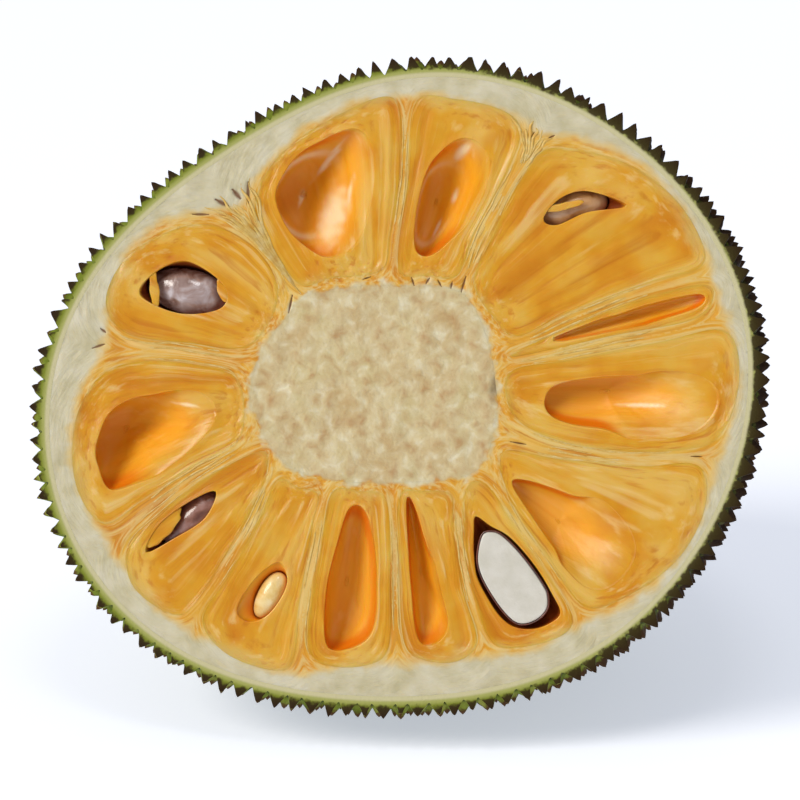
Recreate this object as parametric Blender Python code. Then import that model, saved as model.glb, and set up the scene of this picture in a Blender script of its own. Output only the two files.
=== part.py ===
"""Half of a jackfruit, cut across, resting on a small flat spot with its cut face leaning back.

Lengths are written in millimetres and turned to metres where a mesh or an object is made.
In the fruit's own frame the cut face is the plane Z = 0, X runs to the right across it, Y up it,
and the body lies below it, at negative Z. Depth is counted from the cut face into the body.
"""
import math

import bmesh
import bpy
import numpy as np
from mathutils import Euler, Matrix, Vector
from mathutils.geometry import delaunay_2d_cdt

MM = 0.001
GAP = 0.3

# The body: its cut outline at the foot of the spines, as a mean radius and slow waves round it.
# Each wave is (number of swells, height, angle of its first crest in degrees)
FACE_RADIUS = 111.8
FACE_WAVES = ((1, 2.9, -97), (2, 8.2, 19), (3, 2.6, -41), (4, 0.6, 12), (5, 0.7, 16))
# Deep inside, the body is a plain oval lying level, and its end is well rounded
HALF_DEPTH = 190.0
DEEP_WIDTH = 232.0
DEEP_HEIGHT = 208.0
BLEND_DEPTH = 100.0
ROUNDING = 2.3

# How it rests
LEAN_BACK = 19.0
FLAT_DEPTH = 1.0

# The skin and its spines
SKIN = 2.5
SPINE_HEIGHT = 5.2
SPINE_SITES = 1300
SITE_MARGIN = 24.0
CELL_MARGIN = 12.0

# The inner forms are lofted with this many sides and these steps of depth
BODY_SIDES = 40
BODY_STEPS = 10
LOOP_POINTS = 18
POD_STEPS = (0.45, 0.8, 0.96)
POD_FULLNESS = 2.6
CUT_OVERSHOOT = 3.0

# The core's outline on the cut face, and how far it reaches in
CORE_OUTLINE = ((-34, 28.5), (-24, 32), (-2, 33.5), (18, 32), (26.5, 20), (31, 3), (31.5, -12),
                (25, -28), (2.5, -32), (-24, -32), (-40, -25.5), (-50.5, -8), (-48.5, 8),
                (-41.5, 19.5))
CORE_DEPTH = 120.0

# The bulbs of flesh, clockwise from the upper left. Each has its outline on the cut face, its
# depth, and the hollow that its seed leaves: outline, depth, and how far the floor shifts sideways
BULBS = {
    "bulb_01": {
        "outline": ((-36, 33.5), (-48, 50.5), (-51.5, 61), (-44.5, 75.5), (-26, 89.5),
                    (-6, 96.5), (-3, 75.5), (-5.5, 50), (-8.5, 38.5), (-25, 35.5)),
        "depth": 52,
        "hollow": ((-44.5, 60.5), (-43, 69), (-35, 79), (-20, 84.5), (-15, 79), (-14.5, 66),
                   (-18.5, 49), (-27, 43.5), (-38, 49)),
        "hollow_depth": 18, "shift": (-5, 2)},
    "bulb_02": {
        "outline": ((-2.5, 39.5), (-0.5, 67), (1.5, 95), (15, 96.5), (31, 93), (37, 86),
                    (32.5, 71.5), (22.5, 52), (17.5, 37.5), (7.5, 37)),
        "depth": 50,
        "hollow": ((3, 45.5), (3, 60), (7.5, 75.5), (18, 82), (24.5, 75), (20, 60), (10, 45)),
        "hollow_depth": 15, "shift": (-3, 0)},
    "bulb_03": {
        "outline": ((23, 35), (28.5, 50.5), (38, 71), (47.5, 80.5), (70, 77), (87, 66.5),
                    (97.5, 52), (98, 42), (80, 36), (55, 26), (38, 17.5), (30, 23.5)),
        "depth": 50,
        "hollow": ((45.5, 57), (51, 64), (60, 66.5), (73, 62), (60, 59.5), (50, 55)),
        "hollow_depth": 6, "shift": (0, 0)},
    "bulb_04": {
        "outline": ((36, 11), (46, 16.5), (72.5, 28.5), (98, 36), (102.5, 32), (96, 24.5),
                    (69.5, 18.5), (44.5, 12.2)),
        "depth": 26,
        "hollow": ((52, 17), (62, 21.8), (80, 29), (97, 33), (97, 28.5), (75, 22)),
        "hollow_depth": 5, "shift": (0, 0)},
    "bulb_05": {
        "outline": ((36, 5.5), (55, 10), (86, 17), (104, 21.5), (110.5, 16), (111.5, 2),
                    (107, -12), (98, -18), (72, -19.5), (50, -16), (37, -8)),
        "depth": 50,
        "hollow": ((47.5, -3.5), (53, 2.5), (75, 5.5), (98, 3), (102, -4), (92, -11.5),
                   (65, -12.5), (51, -9.5)),
        "hollow_depth": 8, "shift": (-3, 2)},
    "bulb_06": {
        "outline": ((35.5, -20.5), (52, -22.8), (78, -24.5), (99, -24), (101.5, -38), (93, -55),
                    (77, -67.5), (63, -71.5), (52, -58), (40, -41.5), (34, -28)),
        "depth": 50,
        "hollow": ((37.5, -30.5), (50, -32), (67, -39.5), (76, -52), (68, -62.5), (56, -56.5),
                   (45, -43)),
        "hollow_depth": 10, "shift": (-2, -1)},
    "bulb_07": {
        "outline": ((25.5, -31), (31, -34), (39.5, -46.5), (52, -63.5), (59, -77), (49, -84),
                    (33, -84.5), (26, -67), (21.8, -45), (22, -35)),
        "depth": 46,
        "hollow": ((26, -43), (33.5, -45.5), (49, -62), (54.5, -75.5), (44, -80.5), (33.5, -74),
                   (26.5, -59)),
        "hollow_depth": 10.5, "shift": (0, 0)},
    "bulb_08": {
        "outline": ((0.3, -37), (1, -60), (3, -84), (9, -90.5), (21, -91), (27.5, -84),
                    (22.5, -67.5), (18.5, -47), (17.5, -36), (8, -34.8)),
        "depth": 46,
        "hollow": ((2.5, -39), (6, -42), (12, -65), (16, -80), (9.5, -85), (5.5, -72)),
        "hollow_depth": 10, "shift": (-0.5, 0)},
    "bulb_09": {
        "outline": ((-22.5, -36.5), (-25.5, -56), (-29, -84), (-24, -93), (-10, -93.5),
                    (-1.8, -87), (-2, -64), (-4, -38.5), (-13, -35.5)),
        "depth": 46,
        "hollow": ((-16, -41), (-10.5, -44), (-7.5, -65), (-9, -83.5), (-22, -88), (-23.5, -70),
                   (-20, -52)),
        "hollow_depth": 14, "shift": (-2, 0)},
    "bulb_10": {
        "outline": ((-41, -33), (-48.5, -50.5), (-57, -66), (-64.5, -80), (-56, -91), (-40, -96),
                    (-33.5, -92), (-32, -73), (-28.5, -48), (-27, -37), (-34, -34.8)),
        "depth": 46,
        "hollow": ((-53, -76), (-47.5, -66), (-39.5, -60), (-36.5, -67), (-42, -77), (-49, -80)),
        "hollow_depth": 4, "shift": (0, 0)},
    "bulb_11": {
        "outline": ((-46.5, -23), (-64.5, -32.5), (-82, -47), (-90.5, -58), (-88, -70),
                    (-75, -78.5), (-67.5, -75), (-57, -57.5), (-48, -40), (-44.5, -30)),
        "depth": 46,
        "hollow": ((-84.5, -58), (-80, -48.5), (-70, -40.5), (-61.5, -37), (-65, -46),
                   (-75, -53)),
        "hollow_depth": 7, "shift": (0, 0)},
    "bulb_12": {
        "outline": ((-55, 0), (-68, 5), (-87.5, 6), (-102, 0.5), (-110, -15), (-109, -36),
                    (-99, -49), (-86, -40.5), (-70, -29), (-54, -18.5)),
        "depth": 50,
        "hollow": ((-102.5, -21.5), (-98, -11), (-87, -5.5), (-70, -6.5), (-66, -13),
                   (-79, -26.5), (-96, -37.5), (-102, -29)),
        "hollow_depth": 16, "shift": (-5, 2)},
    "bulb_13": {
        "outline": ((-96, 39), (-82.5, 49), (-67, 52.5), (-52, 46), (-43.5, 34), (-44.5, 22),
                    (-53.5, 11.5), (-72, 12.5), (-93, 15), (-101, 25)),
        "depth": 46,
        "hollow": ((-89.5, 28.5), (-84, 36.5), (-73.5, 40), (-61, 32), (-62, 24.5), (-76, 22.5)),
        "hollow_depth": 8, "shift": (0, 0)},
}

# The seeds that are still in their bulbs: size along, across and through the seed, where its
# middle lies, and how far its long side turns from the X axis, in degrees
SEEDS = {
    "seed_03": {"size": (26, 13, 12), "place": (54, 61.5, -8.2), "turn": 18},
    "seed_07": {"size": (33, 18.5, 18), "place": (39, -62, 0), "turn": -55},
    "seed_10": {"size": (17, 8, 7), "place": (-42.5, -71, -4.6), "turn": 62},
    "seed_11": {"size": (27, 14, 13), "place": (-69, -46, -8.2), "turn": 42},
    "seed_13": {"size": (28, 16, 15), "place": (-74.5, 30.5, -9.2), "turn": -12},
}
SEED_SIDES = 14
SEED_RINGS = 8

# Colours as red, green and blue in linear light, and roughness
FINISHES = {
    "rind": ((0.10, 0.14, 0.025), 0.6),
    "pith": ((0.62, 0.60, 0.36), 0.7),
    "core": ((0.60, 0.53, 0.31), 0.7),
    "flesh": ((0.75, 0.36, 0.03), 0.35),
    "cut_seed": ((0.74, 0.72, 0.62), 0.5),
    "seed_coat": ((0.30, 0.19, 0.12), 0.45),
}


def remove_everything():
    """Empty the file of objects, whatever it opened with."""
    for thing in list(bpy.data.objects):
        bpy.data.objects.remove(thing, do_unlink=True)


def make_collection(name):
    """A new collection in the scene."""
    collection = bpy.data.collections.new(name)
    bpy.context.scene.collection.children.link(collection)
    return collection


def make_finish(name):
    """A Principled material with one of the part's finishes."""
    colour, roughness = FINISHES[name]
    material = bpy.data.materials.new(name)
    material.use_nodes = True
    shader = material.node_tree.nodes["Principled BSDF"]
    shader.inputs["Base Color"].default_value = (*colour, 1.0)
    shader.inputs["Roughness"].default_value = roughness
    shader.inputs["Metallic"].default_value = 0.0
    material.diffuse_color = (*colour, 1.0)
    return material


def make_object(name, mesh_data, collection, parent, place=(0, 0, 0), turn=0.0):
    """An object at a place and turn in the fruit's frame, given in millimetres and degrees."""
    mesh = bpy.data.meshes.new(name)
    bmesh.ops.recalc_face_normals(mesh_data, faces=mesh_data.faces[:])
    mesh_data.to_mesh(mesh)
    mesh_data.free()
    thing = bpy.data.objects.new(name, mesh)
    collection.objects.link(thing)
    thing.parent = parent
    thing.location = Vector(place) * MM
    thing.rotation_euler = (0, 0, math.radians(turn))
    return thing


def finish_part(thing, finish, smooth_angle=40.0):
    """Give a part its material and shade its round stretches smooth."""
    thing.data.materials.append(finish)
    thing.data.shade_smooth()
    thing.data.set_sharp_from_angle(angle=math.radians(smooth_angle))


def hide_cutter(thing):
    """A cutter shows as wire and never renders."""
    thing.hide_render = True
    thing.display_type = "WIRE"


def cut(thing, cutter):
    """Take one cutter out of a part."""
    modifier = thing.modifiers.new("cut_" + cutter.name, "BOOLEAN")
    modifier.operation = "DIFFERENCE"
    modifier.object = cutter
    modifier.solver = "EXACT"


def cut_all(thing, cutters):
    """Take a whole collection of cutters out of a part."""
    modifier = thing.modifiers.new("cut_" + cutters.name, "BOOLEAN")
    modifier.operation = "DIFFERENCE"
    modifier.operand_type = "COLLECTION"
    modifier.collection = cutters
    modifier.solver = "EXACT"


def smooth_step(value):
    """An even rise from 0 to 1."""
    value = np.clip(value, 0.0, 1.0)
    return value * value * (3.0 - 2.0 * value)


def body_radius(angle, depth, inset=0.0):
    """Radius of the body at the foot of the spines, or of a surface inset from it."""
    face = FACE_RADIUS
    for swells, height, crest in FACE_WAVES:
        face = face + height * np.cos(swells * (angle - math.radians(crest)))
    half_width = DEEP_WIDTH / 2
    half_height = DEEP_HEIGHT / 2
    deep = half_width * half_height / np.hypot(half_height * np.cos(angle),
                                               half_width * np.sin(angle))
    blend = smooth_step(depth / BLEND_DEPTH)
    share = np.clip(np.abs(depth) / (HALF_DEPTH - inset), 0.0, 1.0)
    profile = np.sqrt(1.0 - share ** ROUNDING)
    return (face * (1.0 - blend) + deep * blend - inset) * profile


def body_point(angle, depth, inset=0.0):
    """A point of the body's surface in the fruit's frame."""
    radius = float(body_radius(angle, depth, inset))
    return Vector((radius * math.cos(angle), radius * math.sin(angle), -depth))


def smooth_loop(points, count=LOOP_POINTS):
    """A closed smooth curve through a few points, as evenly spaced points, counter-clockwise."""
    fine = []
    total = len(points)
    for index in range(total):
        p0, p1, p2, p3 = (np.array(points[(index + shift) % total], float)
                          for shift in (-1, 0, 1, 2))
        for t in np.linspace(0.0, 1.0, 12, endpoint=False):
            fine.append(0.5 * (2 * p1 + (p2 - p0) * t + (2 * p0 - 5 * p1 + 4 * p2 - p3) * t ** 2
                               + (3 * p1 - p0 - 3 * p2 + p3) * t ** 3))
    fine = np.array(fine + [fine[0]])
    turning = np.sum(fine[:-1, 0] * fine[1:, 1] - fine[1:, 0] * fine[:-1, 1])
    if turning < 0:
        fine = fine[::-1]
    walked = np.concatenate([[0.0], np.cumsum(np.hypot(*np.diff(fine, axis=0).T))])
    stops = np.linspace(0.0, walked[-1], count, endpoint=False)
    return np.column_stack([np.interp(stops, walked, fine[:, axis]) for axis in (0, 1)])


def grown(loop, margin):
    """A loop moved outwards by a margin."""
    along = np.roll(loop, -1, axis=0) - np.roll(loop, 1, axis=0)
    outward = np.column_stack([along[:, 1], -along[:, 0]])
    return loop + margin * outward / np.hypot(*outward.T)[:, None]


def loft(rings, tip=None):
    """A closed body through rings of equal count, ending in a tip or in a flat last ring."""
    data = bmesh.new()
    layers = [[data.verts.new(Vector(point) * MM) for point in ring] for ring in rings]
    data.faces.new(layers[0])
    count = len(layers[0])
    for upper, lower in zip(layers, layers[1:]):
        for index in range(count):
            after = (index + 1) % count
            data.faces.new((upper[index], upper[after], lower[after], lower[index]))
    if tip is None:
        data.faces.new(layers[-1])
    else:
        end = data.verts.new(Vector(tip) * MM)
        for index in range(count):
            data.faces.new((layers[-1][index], layers[-1][(index + 1) % count], end))
    return data


def body_loft(inset, front):
    """The body inset from its skin, from a front plane to its rounded end."""
    angles = np.linspace(0.0, 2 * math.pi, BODY_SIDES, endpoint=False)
    reach = HALF_DEPTH - inset
    depths = [reach * math.sin(math.pi / 2 * step / BODY_STEPS) for step in range(BODY_STEPS)]
    rings = [[body_point(angle, depth, inset) for angle in angles] for depth in depths]
    if front > 0:
        rings.insert(0, [point + Vector((0, 0, front)) for point in rings[0]])
    return loft(rings, (0, 0, -reach))


def pod(outline, depth, margin=0.0, front=0.0, shift=(0, 0)):
    """A pod that fills an outline on the cut face and narrows to a rounded end below it."""
    loop = grown(smooth_loop(outline), margin)
    middle = loop.mean(axis=0)
    reach = depth + margin
    rings = []
    if front > 0:
        rings.append([(x, y, front) for x, y in loop])
    rings.append([(x, y, 0.0) for x, y in loop])
    for step in POD_STEPS:
        scale = (1.0 - step ** POD_FULLNESS) ** (1.0 / POD_FULLNESS)
        ring = middle + (loop - middle) * scale + np.array(shift) * step
        rings.append([(x, y, -step * reach) for x, y in ring])
    return loft(rings, (middle[0] + shift[0], middle[1] + shift[1], -reach))


def seed_body(size, margin=0.0):
    """An oval seed about its own middle, its long side along X."""
    data = bmesh.new()
    bmesh.ops.create_uvsphere(data, u_segments=SEED_SIDES, v_segments=SEED_RINGS, radius=1.0)
    half = Vector(((length / 2 + margin) * MM for length in size))
    bmesh.ops.scale(data, vec=half, verts=data.verts[:])
    return data


def keep_behind(data, height):
    """Cut a mesh off above a height and close it with a flat face."""
    everything = data.verts[:] + data.edges[:] + data.faces[:]
    bmesh.ops.bisect_plane(data, geom=everything, dist=1e-6, plane_co=(0, 0, height * MM),
                           plane_no=(0, 0, 1), clear_outer=True)
    rim = [edge for edge in data.edges if edge.is_boundary]
    bmesh.ops.holes_fill(data, edges=rim, sides=0)


def meridian():
    """Depth, area and the logarithm of the radius on a flat map that keeps angles."""
    depths = HALF_DEPTH * np.sin(np.linspace(-math.asin(SITE_MARGIN / HALF_DEPTH),
                                             math.pi / 2 - 0.002, 4000))
    angles = np.linspace(0.0, 2 * math.pi, 72, endpoint=False)
    radii = np.mean([body_radius(angle, depths) for angle in angles], axis=0)
    steps = np.hypot(np.diff(depths), np.diff(radii))
    middles = (radii[1:] + radii[:-1]) / 2
    area = np.concatenate([[0.0], np.cumsum(2 * math.pi * middles * steps)])
    flat = np.concatenate([[0.0], -np.cumsum(steps / middles)])
    return depths, area, flat


def spiny_body():
    """The outside of the rind: a six-sided spine on every site of a golden spiral, cut flat."""
    depths, area, flat = meridian()
    golden = math.pi * (3.0 - math.sqrt(5.0))
    shares = (np.arange(SPINE_SITES) + 0.5) / SPINE_SITES
    site_flat = np.interp(np.interp(shares * area[-1], area, depths), depths, flat)
    site_angle = np.arange(SPINE_SITES) * golden
    sites = [Vector((math.exp(f) * math.cos(a), math.exp(f) * math.sin(a)))
             for f, a in zip(site_flat, site_angle)]
    sites, _, triangles, *_ = delaunay_2d_cdt(sites, [], [], 0, 1e-9)

    def on_body(spot):
        depth = float(np.interp(-math.log(spot.length), -flat, depths))
        return body_point(math.atan2(spot.y, spot.x), depth)

    middles = [(sites[a] + sites[b] + sites[c]) / 3 for a, b, c in triangles]
    around = {}
    for index, triangle in enumerate(triangles):
        for site in triangle:
            around.setdefault(site, []).append(index)

    data = bmesh.new()
    corners = {}
    for site, touching in around.items():
        if -on_body(sites[site]).z < -CELL_MARGIN:
            continue
        touching.sort(key=lambda index: math.atan2(*(middles[index] - sites[site]).yx))
        for index in touching:
            if index not in corners:
                corners[index] = data.verts.new(on_body(middles[index]) * MM)
        data.faces.new([corners[index] for index in reversed(touching)])
    data.normal_update()
    if sum(face.normal.dot(face.calc_center_median().xy.to_3d()) for face in data.faces) < 0:
        bmesh.ops.reverse_faces(data, faces=data.faces[:])
    bmesh.ops.poke(data, faces=data.faces[:], offset=SPINE_HEIGHT * MM, center_mode="MEAN")
    keep_behind(data, 0.0)
    return data


def rest_pose():
    """Lean the fruit back and set it on the floor, with the flat spot at the origin."""
    turn = Euler((math.radians(90.0 - LEAN_BACK), 0, 0)).to_matrix()
    spots = [turn @ body_point(angle, depth)
             for angle in np.linspace(0, 2 * math.pi, 720, endpoint=False)
             for depth in np.linspace(0, HALF_DEPTH * 0.9, 200)]
    lowest = min(spots, key=lambda spot: spot.z)
    lift = Vector((-lowest.x, -lowest.y, -lowest.z - FLAT_DEPTH))
    return Matrix.LocRotScale(lift * MM, turn, None)


def build():
    """Make every part of the half fruit."""
    remove_everything()
    parts = make_collection("jackfruit_half")
    cutters = make_collection("cutters")
    pockets = bpy.data.collections.new("pockets")
    cutters.children.link(pockets)
    finishes = {name: make_finish(name) for name in FINISHES}

    fruit = bpy.data.objects.new("fruit_frame", None)
    parts.objects.link(fruit)
    fruit.matrix_world = rest_pose()

    floor_data = bmesh.new()
    bmesh.ops.create_cube(floor_data, size=0.4)
    floor_cut = make_object("floor_cut", floor_data, cutters, None, (0, 0, -200))
    hide_cutter(floor_cut)
    rind_hollow = make_object("rind_hollow", body_loft(SKIN, CUT_OVERSHOOT), cutters, fruit)
    hide_cutter(rind_hollow)
    rind = make_object("rind", spiny_body(), parts, fruit)
    cut(rind, rind_hollow)
    cut(rind, floor_cut)
    finish_part(rind, finishes["rind"], 15.0)

    pith = make_object("pith", body_loft(SKIN + GAP, 0.0), parts, fruit)
    finish_part(pith, finishes["pith"])
    core = make_object("core", pod(CORE_OUTLINE, CORE_DEPTH), parts, fruit)
    finish_part(core, finishes["core"])
    hide_cutter(make_object("core_pocket", pod(CORE_OUTLINE, CORE_DEPTH, GAP, CUT_OVERSHOOT),
                            pockets, fruit))

    bulbs = {}
    for name, bulb in BULBS.items():
        flesh = make_object(name, pod(bulb["outline"], bulb["depth"]), parts, fruit)
        pocket = make_object(name + "_pocket",
                             pod(bulb["outline"], bulb["depth"], GAP, CUT_OVERSHOOT),
                             pockets, fruit)
        hide_cutter(pocket)
        hollow = make_object(name + "_hollow",
                             pod(bulb["hollow"], bulb["hollow_depth"], 0.0, CUT_OVERSHOOT,
                                 bulb["shift"]), cutters, fruit)
        hide_cutter(hollow)
        cut(flesh, hollow)
        finish_part(flesh, finishes["flesh"])
        bulbs[name] = flesh
    cut_all(pith, pockets)

    for name, seed in SEEDS.items():
        body = seed_body(seed["size"])
        sliced = seed["place"][2] == 0
        if sliced:
            keep_behind(body, 0.0)
        kernel = make_object(name, body, parts, fruit, seed["place"], seed["turn"])
        finish_part(kernel, finishes["cut_seed" if sliced else "seed_coat"])
        bed = make_object(name + "_bed", seed_body(seed["size"], GAP), cutters, fruit,
                          seed["place"], seed["turn"])
        hide_cutter(bed)
        cut(bulbs[name.replace("seed", "bulb")], bed)


build()
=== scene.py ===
"""Looks of half a jackfruit, cut across, lying back on its rind.

Lengths are in millimetres in the fruit's own frame: the cut face is the plane Z = 0, X runs to the
right across it, Y up it, and the body lies behind it, at negative Z. Depth is counted from the cut
face into the body.
"""
import math

import bmesh
import bpy
import numpy as np
from mathutils import Euler, Matrix, Vector, noise
from mathutils.geometry import delaunay_2d_cdt
from mathutils.kdtree import KDTree


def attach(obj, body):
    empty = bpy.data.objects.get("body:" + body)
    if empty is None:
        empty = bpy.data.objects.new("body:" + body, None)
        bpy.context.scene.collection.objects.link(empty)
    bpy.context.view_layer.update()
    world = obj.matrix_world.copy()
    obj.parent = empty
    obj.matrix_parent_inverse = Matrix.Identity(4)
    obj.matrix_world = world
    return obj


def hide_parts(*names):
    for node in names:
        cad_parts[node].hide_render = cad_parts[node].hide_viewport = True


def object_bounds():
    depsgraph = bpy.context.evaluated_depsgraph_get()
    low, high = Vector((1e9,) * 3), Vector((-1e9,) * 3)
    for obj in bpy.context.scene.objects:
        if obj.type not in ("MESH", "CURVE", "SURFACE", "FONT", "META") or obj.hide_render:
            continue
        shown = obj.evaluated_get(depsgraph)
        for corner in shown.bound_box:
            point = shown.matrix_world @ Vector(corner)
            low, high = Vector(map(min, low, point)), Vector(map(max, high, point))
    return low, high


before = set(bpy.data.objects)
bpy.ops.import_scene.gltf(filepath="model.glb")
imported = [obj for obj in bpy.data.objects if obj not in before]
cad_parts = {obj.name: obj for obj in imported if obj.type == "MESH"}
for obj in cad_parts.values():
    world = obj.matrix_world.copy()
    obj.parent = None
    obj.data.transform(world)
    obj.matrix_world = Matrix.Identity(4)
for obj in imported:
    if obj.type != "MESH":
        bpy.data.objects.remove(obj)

CAD_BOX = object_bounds()
MM = 0.001

# The body, as the solids have it
FACE_RADIUS = 111.8
FACE_WAVES = ((1, 2.9, -97), (2, 8.2, 19), (3, 2.6, -41), (4, 0.6, 12), (5, 0.7, 16))
HALF_DEPTH = 190.0
DEEP_WIDTH = 232.0
DEEP_HEIGHT = 208.0
BLEND_DEPTH = 100.0
ROUNDING = 2.3
LEAN_BACK = 19.0
FLAT_DEPTH = 1.0
SKIN = 2.5

# Real spines stand about 6.6 mm apart and 5 mm high. A closer row of them is set just behind the
# cut, and the pattern of their feet starts well in front of it.
SPINE_HEIGHT = 5.1
SPINE_PITCH = 6.6
RIM_PITCH = 5.9
RIM_DEPTH = 0.4
SITE_MARGIN = 24.0
CELL_MARGIN = 9.0
# Each spine's rings, as shares of the way in and up. The feet start on a golden spiral, and the
# rows of a hexagonal pattern are this share of its pitch apart.
SPINE_STEPS = ((0.13, 0.07), (0.48, 0.45), (0.8, 0.84))
GOLDEN_ANGLE = math.pi * (3.0 - math.sqrt(5.0))
HEX_ROW = 0.866
# How unevenly they grow: how far their feet are stirred, how much they lean, how rough they are,
# their lengths as shares of the height, and the width at which one has its full height
SPINE_STIR = 1.3
SPINE_LEAN = 0.07
SPINE_ROUGHNESS = 0.09
SPINE_LENGTHS = (0.86, 1.02)
SPINE_FULL_WIDTH = 3.3
# How brown the rind is, real browning together with painted shade on the side away from the
# light: by degrees round the cut face, far behind the cut, and the depth at which the one starts
# to fade into the other and how far that takes
BROWNING_AND_SHADE = ((-180, 0.2), (-140, 0.28), (-110, 0.4), (-85, 0.35), (-65, 0.45), (-48, 0.75),
           (-30, 0.95), (0, 1.0), (30, 1.0), (50, 1.0), (65, 0.85), (90, 0.45), (110, 0.3),
           (140, 0.15), (180, 0.2))
BROWNING_AND_SHADE_DEEP = 0.3
BROWNING_AND_SHADE_DEPTH = 9.0
BROWNING_AND_SHADE_FADE = 32.0

# The core: its outline on the cut face, its depth, and its middle, from which the rays run
CORE_OUTLINE = ((-34, 28.5), (-24, 32), (-2, 33.5), (18, 32), (26.5, 20), (31, 3), (31.5, -12),
                (25, -28), (2.5, -32), (-24, -32), (-40, -25.5), (-50.5, -8), (-48.5, 8),
                (-41.5, 19.5))
CORE_DEPTH = 120.0
CORE_MIDDLE = (-9.0, 0.0)
# How full the core and the bulbs are behind the cut, and their rings, as shares of the depth
POD_FULLNESS = 2.6
POD_STEPS = (0.1, 0.26, 0.43, 0.6, 0.76, 0.89, 0.965)

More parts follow.
